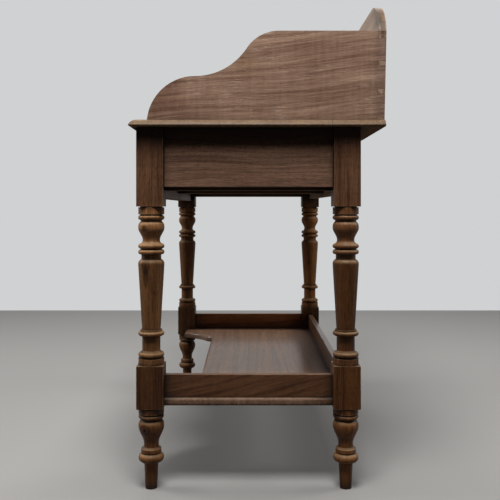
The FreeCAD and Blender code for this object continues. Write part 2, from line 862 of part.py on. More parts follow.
def corner_core(front, slack):
    """Part of a right leg's square that stays solid behind its shelf housing."""
    inset = housing_depth - slack
    x = (leg_in_x + inset, axis_x + leg_size)
    z = (shelf_low - leg_size, shelf_height + leg_size)
    if front:
        return block(x, (front_axis_y - leg_size, front_leg_back_y - inset), z)
    return block(x, (back_leg_front_y + inset, back_axis_y + leg_size), z)


def shelf_board():
    """Shelf with rounded edges, notched at its corners."""
    half = shelf_half_edges()
    outline = half + [mirrored(edge) for edge in half]
    board = extruded(outline, Vector(0, 0, shelf_thickness)).removeSplitter()
    rims = [edge for edge in board.Edges if edge.BoundBox.ZLength < joint_clearance]
    board = board.makeFillet(shelf_edge_radius, rims)
    cores = [corner_core(front, joint_clearance) for front in (True, False)]
    return board.cut(cores + [mirrored(core) for core in cores])


nodes["shelf_board"] = shelf_board()

# Low gallery rails on the shelf
low_rail_z = (shelf_height, shelf_height + low_rail_height)
low_tenon_z = (low_rail_z[0] + low_tenon_shoulder, low_rail_z[1] - low_tenon_shoulder)
low_side_tenon = (
    around((low_rail_in_x + low_rail_out_x) / 2, low_tenon_thickness),
    (front_leg_back_y - low_tenon_length, back_leg_front_y + low_tenon_length),
    low_tenon_z,
)
low_side_rail = block(
    (low_rail_in_x, low_rail_out_x), (front_leg_back_y, back_leg_front_y), low_rail_z
)
pair("shelf_rail", joined([low_side_rail, block(*low_side_tenon)]))
low_back_tenon = (
    (-leg_in_x - low_tenon_length, leg_in_x + low_tenon_length),
    around(back_axis_y, low_tenon_thickness),
    low_tenon_z,
)
low_back_rail = block((-leg_in_x, leg_in_x), (low_back_front_y, low_back_back_y), low_rail_z)
nodes["shelf_rail_back"] = joined([low_back_rail, block(*low_back_tenon)])


def shelf_housing(front):
    """Slot in a right leg that takes a corner of the shelf."""
    slot = block(
        (leg_in_x - leg_half, shelf_out_x + joint_clearance),
        (shelf_front_y - joint_clearance, shelf_back_y + joint_clearance),
        (shelf_low - joint_clearance, shelf_height + joint_clearance),
    )
    return slot.cut(corner_core(front, 0.0))


# Legs, with the mortises of everything that joins them
shared_mortises = [block(*grown(side_tenon)), block(*grown(low_side_tenon))]
front_leg_cuts = shared_mortises + [
    block(*grown(bottom_tenon)),
    lap_dovetail(joint_clearance),
    shelf_housing(True),
]
back_leg_cuts = shared_mortises + [
    block(*grown(back_tenon)),
    block(*grown(low_back_tenon)),
    shelf_housing(False),
]
blank = leg_blank()
pair("leg_front", blank.translated(Vector(axis_x, front_axis_y, 0)).cut(front_leg_cuts))
pair("leg_back", blank.translated(Vector(axis_x, back_axis_y, 0)).cut(back_leg_cuts))

# Drawer sizes, for the right-hand drawer
drawer_x = (muntin_half + drawer_gap, leg_in_x - drawer_gap)
drawer_middle_x = (drawer_x[0] + drawer_x[1]) / 2
drawer_inside_x = (drawer_x[0] + drawer_side_thickness, drawer_x[1] - drawer_side_thickness)
drawer_shoulder_y = face_y + drawer_front_thickness
drawer_back_y = back_rail_front_y - drawer_back_room
drawer_inside_back_y = drawer_back_y - drawer_back_thickness
drawer_low = runner_top + running_clearance
drawer_high = opening_top - drawer_gap
panel_low = drawer_low + drawer_bottom_rise
panel_high = panel_low + drawer_bottom_thickness
drawer_back_low = panel_high + joint_clearance
drawer_back_high = drawer_high - drawer_back_lowering


def nail(x, slack=0.0):
    """Nail up through the drawer bottom into the drawer back, or its hole."""
    up = Vector(0, 0, 1)
    place = Vector(x, drawer_inside_back_y + drawer_back_thickness / 2, panel_low)
    length = drawer_bottom_thickness + nail_bite + slack
    head = Part.makeCylinder(nail_head_radius + slack, nail_head_thickness + slack, place, up)
    stem = Part.makeCylinder(nail_radius + slack, length, place, up)
    return joined([head, stem])


def drawer_pieces():
    """The pieces of the right-hand drawer."""

    def spans(low, high):
        """Heights of a corner's tails."""
        return tail_spans(
            low + drawer_half_pin, high - drawer_half_pin, drawer_tail_count, drawer_pin_width
        )

    front_spans = spans(drawer_low, drawer_high)
    back_spans = spans(drawer_back_low, drawer_back_high)
    panel = (
        (drawer_inside_x[0] - drawer_groove_depth, drawer_inside_x[1] + drawer_groove_depth),
        (drawer_shoulder_y - drawer_groove_depth, drawer_back_y),
        (panel_low, panel_high),
    )
    groove = block(*grown(panel))
    tail_tip_y = face_y + drawer_lap
    front = block(drawer_x, (face_y, drawer_shoulder_y), (runner_top + drawer_gap, drawer_high))
    back = block(drawer_x, (drawer_inside_back_y, drawer_back_y), (drawer_back_low, drawer_back_high))
    sides = []
    for side_x in ((drawer_x[0], drawer_inside_x[0]), (drawer_inside_x[1], drawer_x[1])):
        side = block(side_x, (drawer_shoulder_y, drawer_inside_back_y), (drawer_low, drawer_high))
        front_tails = tails(side_x, drawer_shoulder_y, tail_tip_y, front_spans)
        back_tails = tails(side_x, drawer_inside_back_y, drawer_back_y, back_spans)
        sides.append(joined([side] + front_tails + back_tails).cut(groove))
        front = front.cut(tails(
            side_x, drawer_shoulder_y, tail_tip_y - joint_clearance, front_spans, joint_clearance
        ))
        back = back.cut(tails(
            side_x, drawer_inside_back_y, drawer_back_y, back_spans, joint_clearance
        ))
    nail_places = spread(*around(drawer_middle_x, nail_spread), nail_count)
    nail_holes = [nail(x, joint_clearance) for x in nail_places]
    knob_z = (runner_top + opening_top) / 2
    knob_hole = Part.makeCylinder(
        knob_spigot_radius + joint_clearance,
        knob_spigot_length + joint_clearance,
        Vector(drawer_middle_x, face_y, knob_z),
        Vector(0, 1, 0),
    )
    return {
        "front": front.cut([groove, knob_hole]),
        "inner_side": sides[0],
        "outer_side": sides[1],
        "back": back.cut(nail_holes),
        "bottom": block(*panel).cut(nail_holes),
        "nails": Part.makeCompound([nail(x) for x in nail_places]),
        "knob": knob_body(drawer_middle_x, knob_z),
    }


for piece, shape in drawer_pieces().items():
    nodes["drawer_right_" + piece] = shape
    nodes["drawer_left_" + piece] = mirrored(shape)

# Stops on the front bottom rail, which the drawer fronts shut against
stop_y = (drawer_shoulder_y + running_clearance, front_rail_back_y)
stops = [
    block(around(x, stop_width), stop_y, (runner_top, runner_top + stop_height))
    for x in around(drawer_middle_x, stop_spread)
]
nodes["drawer_stops"] = Part.makeCompound(stops + [mirrored(stop) for stop in stops])

os.makedirs("parts", exist_ok=True)
for name, shape in nodes.items():
    shape.exportStep("parts/" + name + ".step")
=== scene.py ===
"""Looks of a Victorian mahogany washstand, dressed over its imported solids."""

import logging
import math
from collections.abc import Sequence
from dataclasses import dataclass, field, replace
from enum import Enum

import bmesh
import bpy
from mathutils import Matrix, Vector


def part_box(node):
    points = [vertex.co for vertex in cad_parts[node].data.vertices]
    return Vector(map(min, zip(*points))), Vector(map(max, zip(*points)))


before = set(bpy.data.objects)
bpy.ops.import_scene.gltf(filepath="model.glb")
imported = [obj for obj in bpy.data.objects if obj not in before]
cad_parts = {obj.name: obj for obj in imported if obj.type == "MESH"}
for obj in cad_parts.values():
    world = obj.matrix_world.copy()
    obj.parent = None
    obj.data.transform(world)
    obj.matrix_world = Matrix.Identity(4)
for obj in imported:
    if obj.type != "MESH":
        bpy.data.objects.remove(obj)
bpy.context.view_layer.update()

log = logging.getLogger("washstand")

Colour = tuple[float, float, float]
Place = tuple[float, float, float]
Socket = bpy.types.NodeSocket
Feed = Socket | float | Sequence[float]

# Middle of a noise's range.
MIDDLE = 0.5

# Half size of a mark that runs right through a piece, in metres.
ENDLESS = 9.0


class GrainAxis(Enum):
    """Lie of a piece's grain.

    Each value holds the grain's direction, and the turn that lays it along X with the broad face in XZ.
    """

    ACROSS = ((1.0, 0.0, 0.0), (0.0, 0.0, 0.0))
    ACROSS_FLAT = ((1.0, 0.0, 0.0), (math.pi / 2, 0.0, 0.0))
    DEEP = ((0.0, 1.0, 0.0), (0.0, 0.0, -math.pi / 2))
    UPRIGHT = ((0.0, 0.0, 1.0), (math.pi / 2, 0.0, math.pi / 2))

    def __init__(self, direction: Place, turn: Place) -> None:
        """Names the two parts of the value."""
        self.direction = direction
        self.turn = turn


class End(Enum):
    """Ends of the washstand, as the sign of their place along X."""

    RIGHT = 1.0
    LEFT = -1.0


class SocketKind(Enum):
    """Kinds of socket on a node group."""

    COLOUR = "NodeSocketColor"
    VALUE = "NodeSocketFloat"
    VECTOR = "NodeSocketVector"


class Wiring:
    """Adds nodes to one node tree and joins them."""

    def __init__(self, tree: bpy.types.NodeTree) -> None:
        """Keeps the tree that the nodes go into."""
        self.tree = tree

    def feed(self, target: Socket, value: Feed) -> None:
        """Joins a socket to an input, or sets a plain value on the input.

        Args:
            target: The input.
            value: An output socket, a number, or the parts of a vector or colour.
        """
        if isinstance(value, bpy.types.NodeSocket):
            self.tree.links.new(value, target)
        elif target.type == "RGBA":
            target.default_value = (*value, 1.0)
        else:
            target.default_value = value

    def add(self, kind: str, feeds: dict[int | str, Feed], **options: object) -> bpy.types.Node:
        """Adds a node.

        Args:
            kind: Type of the node, without the leading ShaderNode.
            feeds: What each input takes, by its name or number.
            options: Settings of the node.

        Returns:
            The new node.
        """
        node = self.tree.nodes.new("ShaderNode" + kind)
        for name, option in options.items():
            setattr(node, name, option)
        for key, value in feeds.items():
            self.feed(node.inputs[key], value)
        return node

    def math(self, operation: str, first: Feed, second: Feed = 0.0) -> Socket:
        """Result of a sum on two numbers."""
        return self.add("Math", {0: first, 1: second}, operation=operation).outputs[0]

    def vector(self, operation: str, first: Feed, second: Feed) -> Socket:
        """Result of a sum on two vectors."""
        return self.add("VectorMath", {0: first, 1: second}, operation=operation).outputs[0]

    def dot(self, first: Feed, second: Feed) -> Socket:
        """How far two directions agree, from minus one to one."""
        return self.add("VectorMath", {0: first, 1: second}, operation="DOT_PRODUCT").outputs["Value"]

    def upward(self) -> Socket:
        """Upward part of the surface's normal."""
        normal = self.add("NewGeometry", {}).outputs["Normal"]
        return self.add("SeparateXYZ", {0: normal}).outputs[2]

    def openness(self, reach: float, samples: int, own_piece: bool = False) -> Socket:
        """Share of the surroundings that is open.

        Args:
            reach: How far to look, in metres.
            samples: Number of looks.
            own_piece: Whether only the piece itself can close the surroundings.

        Returns:
            The share, from zero to one.
        """
        node = self.add("AmbientOcclusion", {"Distance": reach}, samples=samples, only_local=own_piece)
        return node.outputs["AO"]

    def noise(self, place: Feed, waves: Place, detail: float = 2.0, fine: float = 0.5) -> Socket:
        """Smooth noise.

        Args:
            place: Where on the surface, in metres.
            waves: Waves in a metre along each axis.
            detail: Number of finer layers.
            fine: Strength of each finer layer beside the one before.

        Returns:
            A value about one half.
        """
        scaled = self.vector("MULTIPLY", place, waves)
        feeds = {"Vector": scaled, "Scale": 1.0, "Detail": detail, "Roughness": fine}
        return self.add("TexNoise", feeds).outputs[0]

    def span(self, value: Feed, low: Feed, high: Feed, start: Feed = 0.0, end: Feed = 1.0) -> Socket:
        """Smooth step from one value to another.

        Args:
            value: The number that steps.
            low: Where the step starts.
            high: Where the step ends.
            start: Result below the step.
            end: Result above the step.

        Returns:
            The stepped value.
        """
        feeds = {"Value": value, "From Min": low, "From Max": high, "To Min": start, "To Max": end}
        return self.add("MapRange", feeds, interpolation_type="SMOOTHSTEP").outputs[0]

    def mix(self, share: Feed, first: Feed, second: Feed, blend: str = "MIX") -> Socket:
        """Mix of two colours, with a share of the second."""
        node = self.add("Mix", {0: share, 6: first, 7: second}, data_type="RGBA", blend_type=blend)
        return node.outputs[2]


class EffectGroup:
    """Surface effect that several materials share, as one node group."""

    name = "Effect"
    inputs: dict[str, tuple[SocketKind, Feed]] = {}
    outputs: dict[str, SocketKind] = {}

    def __init__(self) -> None:
        """Makes the group with its sockets and wires it up."""
        self.tree = bpy.data.node_groups.new(self.name, "ShaderNodeTree")
        face = self.tree.interface
        for name, (kind, default) in self.inputs.items():
            socket = face.new_socket(name, in_out="INPUT", socket_type=kind.value)
            socket.default_value = (*default, 1.0) if kind is SocketKind.COLOUR else default
        for name, kind in self.outputs.items():
            face.new_socket(name, in_out="OUTPUT", socket_type=kind.value)
        wiring = Wiring(self.tree)
        given = self.tree.nodes.new("NodeGroupInput").outputs
        made = self.tree.nodes.new("NodeGroupOutput").inputs
        for name, result in self.wire(wiring, given).items():
            wiring.feed(made[name], result)

    def wire(self, wiring: Wiring, given: bpy.types.NodeOutputs) -> dict[str, Socket]:
        """Wires the inside of the group.

        Args:
            wiring: Adds the nodes.
            given: The group's inputs.

        Returns:
            The socket for each of the group's outputs.
        """
        raise NotImplementedError

    def use(self, wiring: Wiring, feeds: dict[str, Feed]) -> bpy.types.NodeOutputs:
        """Places the group in a material.

        Args:
            wiring: Adds nodes to the material.
            feeds: What each of the group's inputs takes.

        Returns:
            The placed group's outputs.
        """
        node = wiring.add("Group", {}, node_tree=self.tree)
        for name, value in feeds.items():
            wiring.feed(node.inputs[name], value)
        return node.outputs


class WoodGrain(EffectGroup):
    """Growth bands, streaks, flecks, pores and ripple of wood whose grain runs along X."""

    name = "Wood grain"
    inputs = {
        "Place": (SocketKind.VECTOR, (0.0, 0.0, 0.0)),
        "Light": (SocketKind.COLOUR, (0.3, 0.2, 0.1)),
        "Dark": (SocketKind.COLOUR, (0.1, 0.05, 0.03)),
        "Pore": (SocketKind.COLOUR, (0.03, 0.02, 0.01)),
        "Climb": (SocketKind.VALUE, 0.1),
        "Sway": (SocketKind.VALUE, 0.01),
        "Bands": (SocketKind.VALUE, 50.0),
        "Contrast": (SocketKind.VALUE, 1.0),
        "Ripple": (SocketKind.VALUE, 0.2),
        "Pores": (SocketKind.VALUE, 0.6),
    }
    outputs = {
        "Color": SocketKind.COLOUR,
        "Height": SocketKind.VALUE,
        "Gloss": SocketKind.VALUE,
    }
    pith = (0.0, 0.05, 0.36)
    sway_waves = (2.4, 0.0, 7.0)
    streak_waves = (4.0, 150.0, 150.0)
    fibre_waves = (18.0, 620.0, 620.0)
    pore_waves = (95.0, 1700.0, 1700.0)
    pore_step = (0.56, 0.66)
    ripple_waves = (120.0, 16.0, 16.0)
    cloud_waves = (3.5, 9.0, 9.0)
    band_weight = 0.9
    streak_weight = 1.7
    fibre_weight = 1.5
    cloud_weight = 0.8
    fibre_height = 0.5

    def wire(self, wiring: Wiring, given: bpy.types.NodeOutputs) -> dict[str, Socket]:
        """Wires the grain from broad bands down to pores."""
        place = given["Place"]
        sway = wiring.math("SUBTRACT", wiring.noise(place, self.sway_waves, detail=1.0), MIDDLE)
        along = wiring.add("SeparateXYZ", {0: place}).outputs[0]
        climbing = wiring.math("MULTIPLY", along, given["Climb"])
        shift = wiring.math("SUBTRACT", wiring.math("MULTIPLY", sway, given["Sway"]), climbing)
        leaning = wiring.vector("ADD", place, wiring.add("CombineXYZ", {2: shift}).outputs[0])
        across = wiring.vector("MULTIPLY", leaning, (0.0, 1.0, 1.0))
        reach = wiring.add("VectorMath", {0: across, 1: self.pith}, operation="DISTANCE").outputs["Value"]
        ring = wiring.math("MULTIPLY", reach, given["Bands"])
        rings = {"W": ring, "Scale": 1.0, "Detail": 2.0, "Roughness": 0.6}
        band = wiring.add("TexNoise", rings, noise_dimensions="1D").outputs[0]
        streak = wiring.noise(leaning, self.streak_waves, detail=3.0, fine=0.65)
        fibre = wiring.noise(leaning, self.fibre_waves, detail=3.0, fine=0.6)
        pore = wiring.span(wiring.noise(leaning, self.pore_waves, detail=1.0), *self.pore_step)
        ripple = wiring.noise(place, self.ripple_waves)
        cloud = wiring.noise(place, self.cloud_waves)

        def part(value: Socket, weight: Feed) -> Socket:
            """Weighted departure of a noise from its middle."""
            return wiring.math("MULTIPLY", wiring.math("SUBTRACT", value, MIDDLE), weight)

        tone = wiring.math("ADD", part(band, self.band_weight), part(streak, self.streak_weight))
        tone = wiring.math("ADD", tone, part(fibre, self.fibre_weight))
        tone = wiring.math("ADD", tone, part(cloud, self.cloud_weight))
        tone = wiring.math("MULTIPLY", tone, given["Contrast"])
        tone = wiring.math("ADD", tone, part(ripple, given["Ripple"]))
        tone = wiring.add("Clamp", {0: wiring.math("ADD", tone, MIDDLE)}).outputs[0]
        colour = wiring.mix(tone, given["Dark"], given["Light"])
        depth = wiring.math("MULTIPLY", pore, given["Pores"])
        colour = wiring.mix(depth, colour, given["Pore"])
        height = wiring.math("SUBTRACT", wiring.math("MULTIPLY", fibre, self.fibre_height), depth)
        half_cloud = wiring.math("MULTIPLY", cloud, 0.5)
        half_streak = wiring.math("MULTIPLY", streak, 0.5)
        gloss = wiring.math("ADD", half_cloud, half_streak)
        return {"Color": colour, "Height": height, "Gloss": gloss}


class EdgeWear(EffectGroup):
    """Rubbed edges, with normals that round every sharp edge over."""

    name = "Edge wear"
    inputs = {
        "Place": (SocketKind.VECTOR, (0.0, 0.0, 0.0)),
        "Amount": (SocketKind.VALUE, 0.5),
    }
    outputs = {"Mask": SocketKind.VALUE, "Normal": SocketKind.VECTOR}
    wear_width = 0.0024
    round_over = 0.0008
    corner_reach = 0.006
    samples = 4
    rubbed_step = (0.99, 0.86)
    proud_step = (0.45, 0.8)
    broken_waves = (60.0, 140.0, 140.0)
    broken_step = (0.36, 0.62)

    def wire(self, wiring: Wiring, given: bpy.types.NodeOutputs) -> dict[str, Socket]:
        """Compares the true normal with a widely rounded one."""
        true_normal = wiring.add("NewGeometry", {}).outputs["Normal"]
        wide = wiring.add("Bevel", {"Radius": self.wear_width}, samples=self.samples).outputs[0]
        rubbed = wiring.span(wiring.dot(wide, true_normal), *self.rubbed_step)
        open_share = wiring.openness(self.corner_reach, self.samples, own_piece=True)
        proud = wiring.span(open_share, *self.proud_step)
        ragged = wiring.noise(given["Place"], self.broken_waves, detail=3.0, fine=0.65)
        broken = wiring.span(ragged, *self.broken_step)
        mask = wiring.math("MULTIPLY", wiring.math("MULTIPLY", rubbed, proud), broken)
        narrow = wiring.add("Bevel", {"Radius": self.round_over}, samples=self.samples).outputs[0]
        return {"Mask": wiring.math("MULTIPLY", mask, given["Amount"]), "Normal": narrow}


class Grime(EffectGroup):
    """Old dirt and wax with painted shade in grooves and inner corners, and painted shade in sheltered
    places, such as below the top's overhang.
    """

    name = "Grime"
    inputs = {
        "Place": (SocketKind.VECTOR, (0.0, 0.0, 0.0)),
        "Amount": (SocketKind.VALUE, 0.6),
        "Shelter": (SocketKind.VALUE, 0.5),
    }
    outputs = {"Mask": SocketKind.VALUE}
    groove_reach = 0.014
    shelter_reach = 0.05
    samples = 8
    hollow_step = (0.78, 0.28)
    shelter_step = (0.85, 0.5)
    patch_waves = (45.0, 45.0, 45.0)
    patch_step = (0.25, 0.7, 0.6, 1.0)

    def wire(self, wiring: Wiring, given: bpy.types.NodeOutputs) -> dict[str, Socket]:
        """Finds hollows by how much of the surroundings closes over them."""
        # Grooves and inner corners darken, as old dirt and wax and as painted shade.
        hollow = wiring.span(wiring.openness(self.groove_reach, self.samples), *self.hollow_step)
        patchy = wiring.span(wiring.noise(given["Place"], self.patch_waves, detail=3.0), *self.patch_step)
        hollow_grime_and_shade = wiring.math("MULTIPLY", wiring.math("MULTIPLY", hollow, patchy), given["Amount"])
        # Painted shade where the surroundings close over within a wide reach, as below the top's
        # overhang.
        sheltered = wiring.span(wiring.openness(self.shelter_reach, self.samples), *self.shelter_step)
        cover_shade = wiring.math("MULTIPLY", sheltered, given["Shelter"])
        return {"Mask": wiring.math("MAXIMUM", hollow_grime_and_shade, cover_shade)}


class Scuffs(EffectGroup):
    """Short pale rubs along the grain, gathered in patches."""

    name = "Scuffs"
    inputs = {
        "Place": (SocketKind.VECTOR, (0.0, 0.0, 0.0)),
        "Amount": (SocketKind.VALUE, 0.3),
    }
    outputs = {"Mask": SocketKind.VALUE}
    rub_waves = (34.0, 380.0, 380.0)
    rub_step = (0.56, 0.7)
    patch_waves = (7.0, 13.0, 13.0)
    patch_step = (0.44, 0.64)

    def wire(self, wiring: Wiring, given: bpy.types.NodeOutputs) -> dict[str, Socket]:
        """Keeps the peaks of a stretched noise, where a broad noise lets them show."""
        peaks = wiring.noise(given["Place"], self.rub_waves, detail=3.0, fine=0.7)
        rub = wiring.span(peaks, *self.rub_step)
        patch = wiring.span(wiring.noise(given["Place"], self.patch_waves), *self.patch_step)
        mask = wiring.math("MULTIPLY", rub, patch)
        return {"Mask": wiring.math("MULTIPLY", mask, given["Amount"])}


class Dust(EffectGroup):
    """Thin pale dust and fading on faces that look up, which is also a painted highlight on the upper
    sides of turned forms.
    """

    name = "Dust"
    inputs = {
        "Place": (SocketKind.VECTOR, (0.0, 0.0, 0.0)),
        "Amount": (SocketKind.VALUE, 0.2),
    }
    outputs = {"Mask": SocketKind.VALUE}
    facing_step = (0.0, 0.8)
    patch_waves = (18.0, 30.0, 30.0)
    patch_step = (0.3, 0.7, 0.45, 1.0)

    def wire(self, wiring: Wiring, given: bpy.types.NodeOutputs) -> dict[str, Socket]:
        """Takes the upward part of the normal, broken up by soft patches."""
        # Faces that look up are paler: dust, and a painted highlight where the light falls on them.
        facing = wiring.span(wiring.upward(), *self.facing_step)
        patchy = wiring.noise(given["Place"], self.patch_waves, detail=4.0, fine=0.6)
        mask = wiring.math("MULTIPLY", facing, wiring.span(patchy, *self.patch_step))
        return {"Mask": wiring.math("MULTIPLY", mask, given["Amount"])}


class EndGrain(EffectGroup):
    """Faces cut across the grain, which drink in more stain."""

    name = "End grain"
    inputs = {
        "Direction": (SocketKind.VECTOR, (1.0, 0.0, 0.0)),
        "Amount": (SocketKind.VALUE, 0.3),
    }
    outputs = {"Mask": SocketKind.VALUE}
    square_step = (0.6, 0.95)

    def wire(self, wiring: Wiring, given: bpy.types.NodeOutputs) -> dict[str, Socket]:
        """Compares the face's normal with the grain's direction."""
        normal = wiring.add("NewGeometry", {}).outputs["Normal"]
        along = wiring.math("ABSOLUTE", wiring.dot(normal, given["Direction"]))
        square = wiring.span(along, *self.square_step)
        return {"Mask": wiring.math("MULTIPLY", square, given["Amount"])}


class Underside(EffectGroup):
    """Faces that look down, which are left unpolished."""

    name = "Underside"
    outputs = {"Mask": SocketKind.VALUE}
    facing_step = (-0.7, -0.95)

    def wire(self, wiring: Wiring, given: bpy.types.NodeOutputs) -> dict[str, Socket]:
        """Takes the downward part of the normal."""
        return {"Mask": wiring.span(wiring.upward(), *self.facing_step)}


class Spot(EffectGroup):
    """Soft round patch at one place, with rings where it is a knot."""

    name = "Spot"
    inputs = {
        "Place": (SocketKind.VECTOR, (0.0, 0.0, 0.0)),
        "Centre": (SocketKind.VECTOR, (0.0, 0.0, 0.0)),
        "Reach": (SocketKind.VECTOR, (0.01, 0.01, 0.01)),
        "Rings": (SocketKind.VALUE, 0.0),
        "Core": (SocketKind.VALUE, 0.3),
        "Amount": (SocketKind.VALUE, 0.8),
    }
    outputs = {"Mask": SocketKind.VALUE}
    ragged_waves = (260.0, 260.0, 110.0)
    raggedness = 0.4
    ring_depth = 0.25

    def wire(self, wiring: Wiring, given: bpy.types.NodeOutputs) -> dict[str, Socket]:
        """Soft ellipsoid with a broken edge and rings inside."""
        away = wiring.vector("SUBTRACT", given["Place"], given["Centre"])
        away = wiring.vector("DIVIDE", away, given["Reach"])
        far = wiring.add("VectorMath", {0: away}, operation="LENGTH").outputs["Value"]
        ragged = wiring.noise(given["Place"], self.ragged_waves, detail=3.0, fine=0.6)
        ragged = wiring.math("SUBTRACT", ragged, MIDDLE)
        far = wiring.math("ADD", far, wiring.math("MULTIPLY", ragged, self.raggedness))
        inside = wiring.span(far, 1.0, given["Core"])
        turns = wiring.math("MULTIPLY", far, given["Rings"])
        ring = wiring.math("COSINE", wiring.math("MULTIPLY", turns, math.tau))
        shade = wiring.math("ADD", wiring.math("MULTIPLY", ring, self.ring_depth), 1.0 - self.ring_depth)
        mask = wiring.math("MULTIPLY", inside, shade)
        return {"Mask": wiring.math("MULTIPLY", mask, given["Amount"])}


class Tarnish(EffectGroup):
    """Blotched dull skin on old metal."""

    name = "Tarnish"
    inputs = {
        "Place": (SocketKind.VECTOR, (0.0, 0.0, 0.0)),
        "Clean": (SocketKind.COLOUR, (0.4, 0.4, 0.4)),
        "Dull": (SocketKind.COLOUR, (0.1, 0.08, 0.06)),
    }
    outputs = {"Color": SocketKind.COLOUR, "Mask": SocketKind.VALUE}
    blotch_waves = (420.0, 420.0, 420.0)
    blotch_step = (0.35, 0.65)

    def wire(self, wiring: Wiring, given: bpy.types.NodeOutputs) -> dict[str, Socket]:
        """Mixes the clean and the dull metal by fine noise."""
        blotch = wiring.noise(given["Place"], self.blotch_waves, detail=5.0, fine=0.65)
        blotch = wiring.span(blotch, *self.blotch_step)
        return {"Color": wiring.mix(blotch, given["Clean"], given["Dull"]), "Mask": blotch}


class Effects:
    """The shared effects, each built once."""

    def __init__(self) -> None:
        """Builds every group."""
        self.grain = WoodGrain()
        self.wear = EdgeWear()
        self.grime = Grime()
        self.scuffs = Scuffs()
        self.dust = Dust()
        self.end_grain = EndGrain()
        self.underside = Underside()
        self.spot = Spot()
        self.tarnish = Tarnish()


def blank_material(name: str) -> bpy.types.Material:
    """New material without any nodes."""
    material = bpy.data.materials.new(name)
    material.use_nodes = True
    material.node_tree.nodes.clear()
    return material


@dataclass(frozen=True)
class Mark:
    """Knot or patch in a wood: its place and half sizes in the washstand's own frame, and its tint.

    The tint is the share that is left of each of the wood's own colours, above one where the patch is
    paler. The core is the share of the mark's size that takes the tint in full. The dulled part is the
    share of the polish that is lost there.
    """

    centre: Place
    reach: Place
    tint: Colour
    core: float = 0.2
    amount: float = 1.0
    rings: float = 0.0
    dulled: float = 0.0

    def at(self, end: End) -> "Mark":
        """The mark at one end, where it is given for the right-hand end."""
        x, y, z = self.centre
        return replace(self, centre=(end.value * x, y, z))


